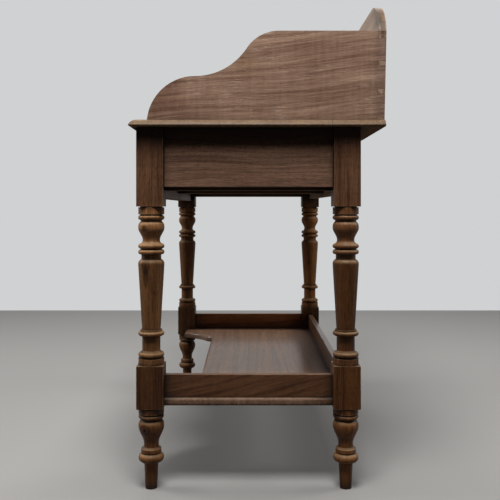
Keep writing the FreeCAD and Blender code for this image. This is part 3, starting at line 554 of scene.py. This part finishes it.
@dataclass(frozen=True)
class WoodFinish:
    """One wood with its polish, wear and dirt, and the shade and highlights painted into it."""

    name: str
    light: Colour
    dark: Colour
    pore: Colour
    worn: Colour
    # Near black, for grime with painted shade in hollows and for painted shade in sheltered places.
    grime: Colour = (0.012, 0.008, 0.006)
    scuff: Colour = (0.4, 0.3, 0.22)
    # Pale colour of dust on upward faces, which is also a painted highlight there.
    dust: Colour = (0.36, 0.29, 0.22)
    roughness: tuple[float, float] = (0.36, 0.56)
    coat: float = 0.12
    coat_roughness: float = 0.38
    raw_roughness: float = 0.95
    specular: float = 0.12
    climb: float = 0.0
    sway: float = 0.03
    bands: float = 60.0
    contrast: float = 1.0
    ripple: float = 0.25
    pores: float = 0.6
    end_amount: float = 0.3
    wear_amount: float = 0.5
    # Strengths of the grime and painted shade in hollows, and of the painted shade in sheltered places.
    grime_and_shade_amount: float = 0.85
    shelter_shade_amount: float = 0.85
    scuff_amount: float = 0.15
    dust_and_highlight_amount: float = 0.12
    bump_depth: float = 0.0004
    bump_strength: float = 0.6
    gloss_step: tuple[float, float] = (0.3, 0.7)
    dust_roughness: float = 0.3
    piece_shift: Place = (7.3, 0.31, 0.23)

    def material(
        self, effects: Effects, axis: GrainAxis, marks: Sequence[Mark] = (), label: str = ""
    ) -> bpy.types.Material:
        """Material of a piece whose grain runs along one axis.

        Args:
            effects: The shared node groups.
            axis: Direction of the grain.
            marks: Knots and patches that show on the piece.
            label: Ending of the material's name, where a piece has its own.

        Returns:
            The material, made once for each name.
        """
        name = f"{self.name}.{axis.name.lower()}{label}"
        if name in bpy.data.materials:
            return bpy.data.materials[name]
        material = blank_material(name)
        wiring = Wiring(material.node_tree)
        here = wiring.add("TexCoord", {}).outputs["Object"]
        chance = wiring.add("ObjectInfo", {}).outputs["Random"]
        turned = wiring.add("Mapping", {"Vector": here, "Rotation": axis.turn}).outputs[0]
        shift = wiring.vector("MULTIPLY", chance, self.piece_shift)
        place = wiring.vector("ADD", turned, shift)
        grain = effects.grain.use(wiring, {
            "Place": place,
            "Light": self.light,
            "Dark": self.dark,
            "Pore": self.pore,
            "Climb": self.climb,
            "Sway": self.sway,
            "Bands": self.bands,
            "Contrast": self.contrast,
            "Ripple": self.ripple,
            "Pores": self.pores,
        })
        colour = grain["Color"]
        raw = effects.underside.use(wiring, {})["Mask"]
        polish = 0.0
        if self.coat:
            polish = wiring.math("SUBTRACT", self.coat, wiring.math("MULTIPLY", raw, self.coat))
        for mark in marks:
            spot = effects.spot.use(wiring, {
                "Place": here,
                "Centre": mark.centre,
                "Reach": mark.reach,
                "Rings": mark.rings,
                "Core": mark.core,
                "Amount": mark.amount,
            })
            colour = wiring.mix(spot["Mask"], colour, mark.tint, "MULTIPLY")
            if mark.dulled:
                lost = wiring.math("MULTIPLY", spot["Mask"], mark.dulled)
                polish = wiring.math("MULTIPLY", polish, wiring.math("SUBTRACT", 1.0, lost))
        ends = effects.end_grain.use(wiring, {"Direction": axis.direction, "Amount": self.end_amount})
        colour = wiring.mix(ends["Mask"], colour, self.pore)
        scuffs = effects.scuffs.use(wiring, {"Place": place, "Amount": self.scuff_amount})
        colour = wiring.mix(scuffs["Mask"], colour, self.scuff)
        wear = effects.wear.use(wiring, {"Place": place, "Amount": self.wear_amount})
        colour = wiring.mix(wear["Mask"], colour, self.worn)
        dust = effects.dust.use(wiring, {"Place": place, "Amount": self.dust_and_highlight_amount})
        colour = wiring.mix(dust["Mask"], colour, self.dust)
        # Grooves and corners darken as grime and painted shade, and sheltered places as painted shade.
        grime = effects.grime.use(wiring, {
            "Place": place, "Amount": self.grime_and_shade_amount, "Shelter": self.shelter_shade_amount,
        })
        colour = wiring.mix(grime["Mask"], colour, self.grime)
        sheen = wiring.span(grain["Gloss"], *self.gloss_step, *self.roughness)
        rough = wiring.math("ADD", sheen, wiring.math("MULTIPLY", dust["Mask"], self.dust_roughness))
        rough = wiring.math("MAXIMUM", rough, wiring.math("MULTIPLY", raw, self.raw_roughness))
        bump = wiring.add("Bump", {
            "Height": grain["Height"],
            "Normal": wear["Normal"],
            "Distance": self.bump_depth,
            "Strength": self.bump_strength,
        })
        shader = wiring.add("BsdfPrincipled", {
            "Base Color": colour,
            "Roughness": rough,
            "Normal": bump.outputs[0],
            "Specular IOR Level": self.specular,
            "Coat Weight": polish,
            "Coat Roughness": self.coat_roughness,
        })
        wiring.add("OutputMaterial", {"Surface": shader.outputs[0]})
        return material


@dataclass(frozen=True)
class MetalFinish:
    """One dull old metal."""

    name: str
    clean: Colour
    dull: Colour
    roughness: tuple[float, float] = (0.35, 0.7)
    bump_depth: float = 0.0002
    bump_strength: float = 0.5

    def material(self, effects: Effects) -> bpy.types.Material:
        """Material of a metal piece.

        Args:
            effects: The shared node groups.

        Returns:
            The material, made once.
        """
        if self.name in bpy.data.materials:
            return bpy.data.materials[self.name]
        material = blank_material(self.name)
        wiring = Wiring(material.node_tree)
        here = wiring.add("TexCoord", {}).outputs["Object"]
        skin = effects.tarnish.use(wiring, {"Place": here, "Clean": self.clean, "Dull": self.dull})
        rough = wiring.span(skin["Mask"], 0.0, 1.0, *self.roughness)
        bump = wiring.add("Bump", {
            "Height": skin["Mask"], "Distance": self.bump_depth, "Strength": self.bump_strength,
        })
        shader = wiring.add("BsdfPrincipled", {
            "Base Color": skin["Color"],
            "Roughness": rough,
            "Metallic": 1.0,
            "Normal": bump.outputs[0],
        })
        wiring.add("OutputMaterial", {"Surface": shader.outputs[0]})
        return material


LEG_WOOD = WoodFinish(
    name="leg_mahogany",
    light=(0.215, 0.1, 0.043),
    dark=(0.066, 0.0245, 0.01),
    pore=(0.018, 0.008, 0.004),
    worn=(0.36, 0.23, 0.12),
    # The legs' dust colour is golden and strong: dust, and a painted highlight on the upper sides of the
    # turnings.
    dust=(0.5, 0.34, 0.18),
    roughness=(0.38, 0.54),
    coat=0.1,
    sway=0.012,
    bands=70.0,
    dust_and_highlight_amount=0.36,
)
TOP_WOOD = WoodFinish(
    name="top_mahogany",
    light=(0.215, 0.127, 0.062),
    dark=(0.1, 0.05, 0.0232),
    pore=(0.035, 0.019, 0.012),
    worn=(0.28, 0.195, 0.11),
    end_amount=0.1,
    scuff_amount=0.25,
)
GALLERY_WOOD = WoodFinish(
    name="gallery_mahogany",
    light=(0.43, 0.272, 0.186),
    dark=(0.176, 0.0935, 0.06),
    pore=(0.04, 0.022, 0.016),
    worn=(0.1, 0.06, 0.04),
    scuff=(0.56, 0.43, 0.33),
    roughness=(0.45, 0.65),
    coat=0.05,
    climb=0.1,
    sway=0.035,
    contrast=1.05,
    ripple=0.4,
    pores=0.4,
    grime_and_shade_amount=0.4,
    shelter_shade_amount=0.4,
    scuff_amount=0.7,
)
GALLERY_BACK_WOOD = replace(
    GALLERY_WOOD,
    name="gallery_back_mahogany",
    light=(0.39, 0.262, 0.178),
    dark=(0.16, 0.091, 0.058),
    roughness=(0.35, 0.5),
    coat=0.4,
    climb=0.0,
    end_amount=0.0,
)
FRIEZE_WOOD = WoodFinish(
    name="frieze_mahogany",
    light=(0.265, 0.149, 0.094),
    dark=(0.1, 0.049, 0.03),
    pore=(0.025, 0.013, 0.009),
    worn=(0.28, 0.18, 0.12),
    roughness=(0.42, 0.6),
    coat=0.08,
    sway=0.05,
)
SHELF_WOOD = WoodFinish(
    name="shelf_mahogany",
    light=(0.175, 0.078, 0.036),
    dark=(0.059, 0.0214, 0.009),
    pore=(0.022, 0.01, 0.006),
    worn=(0.36, 0.25, 0.17),
    climb=0.22,
)
SHELF_BOARD_WOOD = replace(
    SHELF_WOOD,
    name="shelf_board_mahogany",
    light=(0.3, 0.155, 0.083),
    dark=(0.095, 0.041, 0.019),
    roughness=(0.32, 0.45),
    coat=0.55,
    coat_roughness=0.18,
    climb=0.0,
    contrast=0.85,
    end_amount=0.0,
    scuff_amount=0.35,
)
SHELF_BACK_WOOD = replace(
    SHELF_WOOD,
    name="shelf_back_mahogany",
    coat=0.75,
    coat_roughness=0.15,
    climb=0.0,
)
# Paler, redder copy of the shelf wood for the far rail: painted light where that rail stands in shade,
# and a redder tone.
SHELF_LEFT_LIT_WOOD = replace(
    SHELF_WOOD,
    name="shelf_left_mahogany",
    light=(0.28, 0.1, 0.034),
    dark=(0.094, 0.027, 0.0085),
    climb=0.05,
)
DRAWER_WOOD = WoodFinish(
    name="drawer_mahogany",
    light=(0.28, 0.165, 0.105),
    dark=(0.095, 0.046, 0.028),
    pore=(0.025, 0.013, 0.009),
    worn=(0.34, 0.23, 0.15),
    contrast=1.1,
)
KNOB_WOOD = WoodFinish(
    name="knob_mahogany",
    light=(0.2, 0.1, 0.05),
    dark=(0.07, 0.03, 0.014),
    pore=(0.02, 0.01, 0.006),
    worn=(0.3, 0.19, 0.11),
    roughness=(0.2, 0.34),
    coat=0.35,
)
CARCASE_PINE = WoodFinish(
    name="carcase_pine",
    light=(0.38, 0.25, 0.145),
    dark=(0.19, 0.11, 0.056),
    pore=(0.11, 0.06, 0.03),
    worn=(0.42, 0.3, 0.19),
    roughness=(0.6, 0.8),
    coat=0.0,
    bands=130.0,
    pores=0.25,
    scuff_amount=0.0,
)
# Darker copy of the carcase pine: painted shade on the runners, which sit in the dark below the frieze.
SHADED_RUNNER_PINE = replace(
    CARCASE_PINE,
    name="runner_pine",
    light=(0.15, 0.097, 0.056),
    dark=(0.075, 0.043, 0.022),
    pore=(0.04, 0.022, 0.012),
    worn=(0.22, 0.15, 0.09),
)
LINING_PINE = replace(
    CARCASE_PINE,
    name="drawer_lining_pine",
    light=(0.54, 0.39, 0.24),
    dark=(0.32, 0.2, 0.11),
    pore=(0.2, 0.12, 0.07),
    worn=(0.58, 0.44, 0.29),
)
DOWEL_BEECH = WoodFinish(
    name="dowel_beech",
    light=(0.6, 0.44, 0.29),
    dark=(0.45, 0.3, 0.18),
    pore=(0.3, 0.18, 0.1),
    worn=(0.65, 0.5, 0.34),
    roughness=(0.6, 0.75),
    coat=0.0,
    bands=160.0,
    contrast=0.6,
    scuff_amount=0.0,
)
SCREW_STEEL = MetalFinish(name="screw_steel", clean=(0.42, 0.41, 0.39), dull=(0.16, 0.12, 0.09))
NAIL_IRON = MetalFinish(name="nail_iron", clean=(0.2, 0.19, 0.18), dull=(0.07, 0.045, 0.03))


@dataclass
class SubAssembly:
    """Pieces that belong together, with what they are made of."""

    effects: Effects
    edge_round: float = 0.001
    edge_steps: int = 3
    sharp_angle: float = math.radians(35.0)
    flat_angle: float = math.radians(0.4)
    weld_reach: float = 0.00001

    def dress(self) -> None:
        """Gives each piece its material."""
        raise NotImplementedError

    def paint(self, piece: bpy.types.Object, material: bpy.types.Material) -> None:
        """Puts a material on a whole piece and reports it.

        Args:
            piece: The piece.
            material: Its material.
        """
        piece.data.materials.clear()
        piece.data.materials.append(material)
        log.info("%s: %s", piece.name, material.name)

    def wood(self, node: str, finish: WoodFinish, axis: GrainAxis, marks: Sequence[Mark] = ()) -> None:
        """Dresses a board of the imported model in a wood.

        Args:
            node: Name of the board.
            finish: The wood.
            axis: Lie of the grain.
            marks: Knots and patches that show on the board.
        """
        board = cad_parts[node]
        self.ease(board)
        label = "." + node if marks else ""
        self.paint(board, finish.material(self.effects, axis, marks, label))

    def ease(self, board: bpy.types.Object) -> None:
        """Eases the sharp edges of a flat board over, as sandpaper does.

        Args:
            board: The board.
        """
        weld = board.modifiers.new("join_faces", "WELD")
        weld.merge_threshold = self.weld_reach
        merge = board.modifiers.new("merge_flats", "DECIMATE")
        merge.decimate_type = "DISSOLVE"
        merge.angle_limit = self.flat_angle
        ease = board.modifiers.new("ease_edges", "BEVEL")
        ease.width = self.edge_round
        ease.segments = self.edge_steps
        ease.limit_method = "ANGLE"
        ease.angle_limit = self.sharp_angle
        ease.harden_normals = False
        even = board.modifiers.new("even_shading", "WEIGHTED_NORMAL")
        even.keep_sharp = True


# Painted shade close below the top's overhang: the wood there is painted darker where the top's shadow
# falls.
OVERHANG_SHADE = (
    Mark((0.0, 0.0, 0.735), (ENDLESS, ENDLESS, 0.075), (0.48, 0.43, 0.4), core=0.35),
    Mark((0.0, 0.0, 0.735), (ENDLESS, ENDLESS, 0.043), (0.42, 0.37, 0.35), core=0.55),
)
HEARTWOOD = (0.38, 0.34, 0.31)
KNOT = (0.16, 0.12, 0.1)


class LegZone(Enum):
    """Zones of a leg tinted apart, partly in the wood's tone and partly as painted light and shade:
    middle height above the floor, and half height, in metres.
    """

    HIGH_BLOCK = (0.655, 0.092)
    VASE = (0.522, 0.058)
    TAPER = (0.360, 0.125)
    LOW_BLOCK = (0.205, 0.060)
    FOOT = (0.075, 0.085)
    BELOW_TOP = (0.690, 0.045)


@dataclass
class Legs(SubAssembly):
    """Four turned legs, each darker or paler from zone to zone, as tone and as painted light and shade,
    with knots on one of them.

    A leg takes the shared tint of a zone where it has no tint of its own.
    """

    # Shared tints: the high block is darker and bluer, partly tone and partly painted shade; the low
    # block is painted shade, darker towards the floor; the band below the top is painted shade; the
    # foot's yellower hue is the wood's tone.
    shared_tints: dict[LegZone, Colour] = field(default_factory=lambda: {
        LegZone.HIGH_BLOCK: (0.82, 0.82, 0.94),
        LegZone.LOW_BLOCK: (0.64, 0.58, 0.48),
        LegZone.FOOT: (1.08, 0.92, 0.68),
        LegZone.BELOW_TOP: (0.8, 0.8, 0.8),
    })
    # Own tints: paler vases and tapers are painted light and highlights, strongest on the far legs,
    # front_left and back_left, which stand in shade; darker low blocks are painted shade.
    own_tints: dict[str, dict[LegZone, Colour]] = field(default_factory=lambda: {
        "front_right": {
            LegZone.VASE: (2.0, 2.05, 1.85),
            LegZone.TAPER: (1.15, 1.13, 0.95),
            LegZone.LOW_BLOCK: (0.49, 0.41, 0.32),
        },
        "front_left": {LegZone.VASE: (1.6, 1.5, 1.2), LegZone.TAPER: (1.1, 1.05, 0.9)},
        "back_right": {
            LegZone.VASE: (1.25, 1.15, 1.05),
            LegZone.TAPER: (0.63, 0.52, 0.36),
            LegZone.LOW_BLOCK: (0.7, 0.55, 0.34),
        },
        "back_left": {LegZone.VASE: (2.1, 1.95, 1.35), LegZone.TAPER: (1.8, 1.65, 1.15)},
    })
    zone_reach: float = 2.0
    zone_core: float = 0.75
    knotted_leg: str = "front_right"
    vase_knot: Mark = Mark((0.450, -0.2256, 0.531), (0.030, 0.0085, 0.0085), HEARTWOOD, core=0.45)
    taper_flame: tuple[Mark, ...] = (
        Mark((0.450, -0.2236, 0.456), (0.030, 0.0102, 0.0240), HEARTWOOD, core=0.7, amount=0.85),
        Mark((0.450, -0.2238, 0.434), (0.030, 0.0068, 0.0300), HEARTWOOD, core=0.6),
    )
    foot_knot: tuple[Mark, ...] = (
        Mark((0.450, -0.2262, 0.123), (0.040, 0.0140, 0.0140), HEARTWOOD, core=0.75, rings=1.6),
        Mark((0.450, -0.2262, 0.123), (0.040, 0.0050, 0.0050), KNOT, core=0.6),
    )

    def dress(self) -> None:
        """Dresses each leg."""
        for corner, own_tints in self.own_tints.items():
            tints = self.shared_tints | own_tints
            marks = [self.band(zone, tints[zone]) for zone in LegZone]
            # Painted shade below the top's overhang.
            marks += OVERHANG_SHADE
            if corner == self.knotted_leg:
                marks += (self.vase_knot, *self.taper_flame, *self.foot_knot)
            wood = LEG_WOOD.material(self.effects, GrainAxis.UPRIGHT, marks, "." + corner)
            self.paint(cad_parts["leg_" + corner], wood)

    def band(self, zone: LegZone, tint: Colour) -> Mark:
        """Soft band round a leg, over one zone."""
        height, half_height = zone.value
        reach = (self.zone_reach, self.zone_reach, half_height)
        return Mark((0.0, 0.0, height), reach, tint, core=self.zone_core)


@dataclass
class TopAndGallery(SubAssembly):
    """Moulded top with the splash gallery round it, whose marks are given for the right-hand end."""

    end_x: float = 0.455
    top_height: float = 0.750
    back_foot_y: float = 0.2423
    back_lean: float = 0.022
    back_thickness: float = 0.015
    pin_heights: tuple[float, ...] = (0.9215, 0.8634, 0.8067)
    pin_reach: Place = (0.004, 0.0120, 0.0100)
    dry_pin: Colour = (1.15, 1.17, 1.2)
    joint_reach: Place = (0.020, 0.0014, 0.0100)
    joint_dirt: Colour = (0.35, 0.3, 0.27)
    shoulder: Mark = Mark((end_x, 0.2440, 0.968), (0.060, 0.0150, 0.0420), (0.42, 0.45, 0.45), core=0.6)
    crest_edge: Mark = Mark((0.4095, 0.2540, 0.960), (0.090, 0.0085, 0.0700), (0.48, 0.4, 0.3), core=0.7)
    sun_patch: Mark = Mark((end_x, -0.0217, 0.862), (0.050, 0.0320, 0.0380), (0.9, 0.88, 0.8))
    dark_nose: Mark = Mark((end_x, -0.2050, 0.820), (0.050, 0.0800, 0.1100), (0.62, 0.54, 0.51))
    handled_tails: Mark = Mark(
        (end_x, 0.2600, 0.840), (0.020, 0.0270, 0.5000), (0.76, 0.77, 0.83), core=0.6
    )
    upper_face: Mark = Mark(
        (0.0, 0.0, 0.7530), (ENDLESS, ENDLESS, 0.0045), (0.95, 0.86, 0.82), core=0.8
    )
    back_joint: Mark = Mark(
        (0.0, 0.1510, 0.7425), (ENDLESS, 0.0009, 0.1), (0.15, 0.12, 0.1), core=0.5, amount=0.9
    )
    front_joint: Mark = Mark(
        (0.0, -0.0750, 0.7425), (ENDLESS, 0.0006, 0.1), (0.3, 0.26, 0.22), core=0.5, amount=0.8
    )

    def joint_y(self, height: float) -> float:
        """Place of the joint between an end board and the leaning back, at one height."""
        return self.back_foot_y + self.back_lean * (height - self.top_height)

    def back_marks(self) -> list[Mark]:
        """Dark shoulders and crest edges at the ends of the back, and its dry pins between the tails."""
        marks = []
        for end in End:
            marks.append(self.shoulder.at(end))
            marks.append(self.crest_edge.at(end))
            for height in self.pin_heights:
                middle = self.joint_y(height) + self.back_thickness / 2
                pin = Mark((self.end_x, middle, height), self.pin_reach, self.dry_pin)
                marks.append(pin.at(end))
        return marks

    def side_marks(self, end: End) -> list[Mark]:
        """Marks of one of the gallery's end boards.

        The sun has yellowed a patch, hands have darkened the nose and the tails, and dirt lies in the
        joints beside the pins.

        Args:
            end: Where the board stands.

        Returns:
            The marks of that board.
        """
        marks = [self.sun_patch.at(end), self.dark_nose.at(end), self.handled_tails.at(end)]
        for height in self.pin_heights:
            joint = Mark((self.end_x, self.joint_y(height), height), self.joint_reach, self.joint_dirt)
            marks.append(joint.at(end))
        return marks

    def dress(self) -> None:
        """Dresses the boards, their dowels and the screws below."""
        top_marks = (self.upper_face, self.back_joint, self.front_joint)
        self.wood("top_board", TOP_WOOD, GrainAxis.ACROSS_FLAT, top_marks)
        self.wood("gallery_back", GALLERY_BACK_WOOD, GrainAxis.ACROSS, self.back_marks())
        self.wood("gallery_side_right", GALLERY_WOOD, GrainAxis.DEEP, self.side_marks(End.RIGHT))
        self.wood("gallery_side_left", GALLERY_WOOD, GrainAxis.DEEP, self.side_marks(End.LEFT))
        dowel_wood = DOWEL_BEECH.material(self.effects, GrainAxis.UPRIGHT)
        self.paint(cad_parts["gallery_dowels"], dowel_wood)
        self.paint(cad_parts["top_screws"], SCREW_STEEL.material(self.effects))


@dataclass
class Frieze(SubAssembly):
    """Rails under the top, with what carries and guides the drawers."""

    show_boards: dict[str, GrainAxis] = field(default_factory=lambda: {
        "front_top_rail": GrainAxis.ACROSS,
        "front_bottom_rail": GrainAxis.ACROSS,
        "centre_muntin": GrainAxis.UPRIGHT,
    })
    hidden_boards: dict[str, GrainAxis] = field(default_factory=lambda: {
        "back_rail": GrainAxis.ACROSS,
        "centre_guide": GrainAxis.DEEP,
        "side_guide_right": GrainAxis.DEEP,
        "side_guide_left": GrainAxis.DEEP,
        "centre_kicker": GrainAxis.DEEP,
        "side_kicker_right": GrainAxis.DEEP,
        "side_kicker_left": GrainAxis.DEEP,
        "drawer_stops": GrainAxis.ACROSS,
        "glue_blocks": GrainAxis.ACROSS,
    })

    def dress(self) -> None:
        """Dresses the show wood and the plain wood behind it."""
        # The side rails take painted shade below the top's overhang.
        for node in ("side_rail_right", "side_rail_left"):
            self.wood(node, FRIEZE_WOOD, GrainAxis.DEEP, OVERHANG_SHADE)
        # The runners take the darker pine, as painted shade.
        for node in ("side_runner_right", "side_runner_left", "centre_runner"):
            self.wood(node, SHADED_RUNNER_PINE, GrainAxis.DEEP)
        for node, axis in self.show_boards.items():
            self.wood(node, FRIEZE_WOOD, axis)
        for node, axis in self.hidden_boards.items():
            self.wood(node, CARCASE_PINE, axis)


@dataclass
class Drawer(SubAssembly):
    """One drawer with its knob."""

    side: str = "right"
    lining: dict[str, GrainAxis] = field(default_factory=lambda: {
        "inner_side": GrainAxis.DEEP,
        "outer_side": GrainAxis.DEEP,
        "back": GrainAxis.ACROSS,
        "bottom": GrainAxis.ACROSS_FLAT,
    })

    def node(self, piece: str) -> str:
        """Name of one of this drawer's pieces."""
        return f"drawer_{self.side}_{piece}"

    def dress(self) -> None:
        """Dresses the front, the lining, the nails and the knob."""
        self.wood(self.node("front"), DRAWER_WOOD, GrainAxis.ACROSS)
        for piece, axis in self.lining.items():
            self.wood(self.node(piece), LINING_PINE, axis)
        self.paint(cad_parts[self.node("nails")], NAIL_IRON.material(self.effects))
        self.paint(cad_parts[self.node("knob")], KNOB_WOOD.material(self.effects, GrainAxis.DEEP))


@dataclass
class LowShelf(SubAssembly):
    """Shelf near the floor with a low gallery on three sides."""

    # End of the board, which stands out past the low gallery: paler as rubbed wood and as a painted
    # highlight on its rounded nose, with its polish taken off.
    rubbed_and_highlit_end: Mark = Mark(
        (0.433, 0.0, 0.1750), (0.0075, ENDLESS, 0.0300), (1.05, 1.2, 1.42), core=0.85, dulled=1.0
    )
    # Painted shade in the corner along the back rail.
    corner_shade_tint: Colour = (0.6, 0.55, 0.5)
    corner_core: float = 0.5
    corner_dulled: float = 0.9
    board_corner: tuple[float, float] = (0.080, 0.030)
    rail_corner: tuple[float, float] = (0.006, 0.052)

    def corner_shade_mark(self, reach_y: float, reach_z: float) -> Mark:
        """Painted shade, with dull polish, in the corner between the board and the back rail.

        Args:
            reach_y: How far the mark goes out over the board.
            reach_z: How far it goes up the rail.

        Returns:
            The mark, along the whole corner.
        """
        low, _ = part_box("shelf_rail_back")
        centre = (0.0, low[1], low[2])
        reach = (ENDLESS, reach_y, reach_z)
        return Mark(centre, reach, self.corner_shade_tint, core=self.corner_core, dulled=self.corner_dulled)

    def dress(self) -> None:
        """Dresses the board and its three rails."""
        # The board's ends: rubbed wood with a painted highlight.
        board_marks = [self.rubbed_and_highlit_end.at(end) for end in End]
        # Painted shade in the corner along the back rail, on the board and on the rail.
        board_marks.append(self.corner_shade_mark(*self.board_corner))
        rail_marks = [self.corner_shade_mark(*self.rail_corner)]
        self.wood("shelf_board", SHELF_BOARD_WOOD, GrainAxis.ACROSS_FLAT, board_marks)
        self.wood("shelf_rail_back", SHELF_BACK_WOOD, GrainAxis.ACROSS, rail_marks)
        self.wood("shelf_rail_right", SHELF_WOOD, GrainAxis.DEEP)
        # The far rail takes the paler copy, as painted light.
        self.wood("shelf_rail_left", SHELF_LEFT_LIT_WOOD, GrainAxis.DEEP)


@dataclass(frozen=True)
class Softbox:
    """Square studio lamp that looks at a point."""

    name: str
    place: Place
    target: Place
    size: float
    power: float

    def build(self) -> None:
        """Hangs the lamp."""
        lamp = bpy.data.lights.new(self.name, "AREA")
        lamp.size = self.size
        lamp.energy = self.power
        stand = bpy.data.objects.new(self.name, lamp)
        stand.location = self.place
        aim = Vector(self.target) - Vector(self.place)
        stand.rotation_euler = aim.to_track_quat("-Z", "Y").to_euler()
        stand.visible_camera = False
        bpy.context.scene.collection.objects.link(stand)


@dataclass
class Studio:
    """Plain floor, pale surroundings, soft lamps and the camera."""

    floor_colour: Colour = (0.31, 0.302, 0.29)
    floor_bounce: Colour = (0.06, 0.058, 0.055)
    floor_x: tuple[float, float] = (-2.1, 7.0)
    floor_y: tuple[float, float] = (-7.0, 7.0)
    floor_fade: tuple[float, float] = (1.3, 4.0)
    floor_roughness: float = 0.7
    backdrop_colour: Colour = (0.63, 0.64, 0.645)
    mirrored_share: float = 0.8
    mirrored_step: tuple[float, float] = (0.35, -0.25)
    ambient_colour: Colour = (0.95, 0.97, 1.0)
    ambient_strength: float = 0.04
    camera_place: Place = (1.895, -0.016741, 0.572)
    camera_lens: float = 51.5
    camera_shift: tuple[float, float] = (0.003, -0.084)
    lamps: tuple[Softbox, ...] = (
        Softbox("key_lamp", (1.25, -0.1, 2.5), (0.4, 0.0, 0.6), 0.8, 59.0),
        Softbox("front_lamp", (-0.15, -2.5, 2.1), (0.0, 0.0, 0.4), 1.2, 40.0),
        Softbox("back_lamp", (-0.15, 2.5, 2.1), (0.0, 0.0, 0.4), 1.2, 34.0),
        Softbox("left_lamp", (-1.9, 0.0, 3.0), (0.0, 0.0, 0.4), 1.2, 34.0),
    )

    def build(self) -> None:
        """Sets the whole studio up."""
        self.lay_floor()
        self.light_world()
        for lamp in self.lamps:
            lamp.build()
        self.place_camera()
        bpy.context.scene.view_settings.view_transform = "Standard"

    def lay_floor(self) -> None:
        """Lays a plain pale floor, which stays pale beyond the reach of the lamps."""
        mesh = bpy.data.meshes.new("floor")
        sheet = bmesh.new()
        (left, right), (near, far) = self.floor_x, self.floor_y
        corners = ((left, near), (right, near), (right, far), (left, far))
        sheet.faces.new([sheet.verts.new((x, y, 0.0)) for x, y in corners])
        sheet.to_mesh(mesh)
        sheet.free()
        floor = bpy.data.objects.new("floor", mesh)
        bpy.context.scene.collection.objects.link(floor)
        material = blank_material("floor")
        wiring = Wiring(material.node_tree)
        ray = wiring.add("LightPath", {}).outputs
        mirrored = wiring.math("MAXIMUM", ray["Is Glossy Ray"], ray["Is Transmission Ray"])
        seen = wiring.math("MAXIMUM", ray["Is Camera Ray"], mirrored)
        colour = wiring.mix(seen, self.floor_bounce, self.floor_colour)
        shader = wiring.add("BsdfPrincipled", {"Base Color": colour, "Roughness": self.floor_roughness})
        place = wiring.add("SeparateXYZ", {0: wiring.add("TexCoord", {}).outputs["Object"]}).outputs
        away = wiring.math("MAXIMUM", place[0], wiring.math("ABSOLUTE", place[1]))
        faded = wiring.math("MULTIPLY", wiring.span(away, *self.floor_fade), seen)
        glow = wiring.add("Emission", {"Color": self.floor_colour, "Strength": 1.0})
        both = wiring.add("MixShader", {0: faded, 1: shader.outputs[0], 2: glow.outputs[0]})
        wiring.add("OutputMaterial", {"Surface": both.outputs[0]})
        mesh.materials.append(material)

    def light_world(self) -> None:
        """Lights softly from all round, with a pale backdrop for the eye and for reflections."""
        world = bpy.data.worlds.new("studio")
        bpy.context.scene.world = world
        world.use_nodes = True
        world.node_tree.nodes.clear()
        wiring = Wiring(world.node_tree)
        ray = wiring.add("LightPath", {}).outputs
        direction = wiring.add("TexCoord", {}).outputs["Generated"]
        along = wiring.add("SeparateXYZ", {0: direction}).outputs[0]
        beyond = wiring.span(along, *self.mirrored_step)
        mirrored = wiring.math("MAXIMUM", ray["Is Glossy Ray"], ray["Is Transmission Ray"])
        mirrored = wiring.math("MULTIPLY", wiring.math("MULTIPLY", mirrored, beyond), self.mirrored_share)
        seen = wiring.math("MAXIMUM", ray["Is Camera Ray"], mirrored)
        glow = wiring.add("Background", {"Color": self.ambient_colour, "Strength": self.ambient_strength})
        backdrop = wiring.add("Background", {"Color": self.backdrop_colour, "Strength": 1.0})
        both = wiring.add("MixShader", {0: seen, 1: glow.outputs[0], 2: backdrop.outputs[0]})
        wiring.add("OutputWorld", {"Surface": both.outputs[0]})

    def place_camera(self) -> None:
        """Puts a level camera at the right-hand end, looking along the washstand."""
        lens = bpy.data.cameras.new("camera")
        lens.lens = self.camera_lens
        lens.shift_x, lens.shift_y = self.camera_shift
        camera = bpy.data.objects.new("camera", lens)
        camera.location = self.camera_place
        camera.rotation_euler = (math.pi / 2, 0.0, math.pi / 2)
        bpy.context.scene.collection.objects.link(camera)
        bpy.context.scene.camera = camera


def main() -> None:
    """Dresses each sub-assembly in order and sets the studio up."""
    logging.basicConfig(level=logging.INFO, format="%(name)s %(message)s")
    effects = Effects()
    assemblies = (
        Legs(effects),
        TopAndGallery(effects),
        Frieze(effects),
        Drawer(effects, side="right"),
        Drawer(effects, side="left"),
        LowShelf(effects),
    )
    for assembly in assemblies:
        assembly.dress()
    Studio().build()


if __name__ == "__main__":
    main()
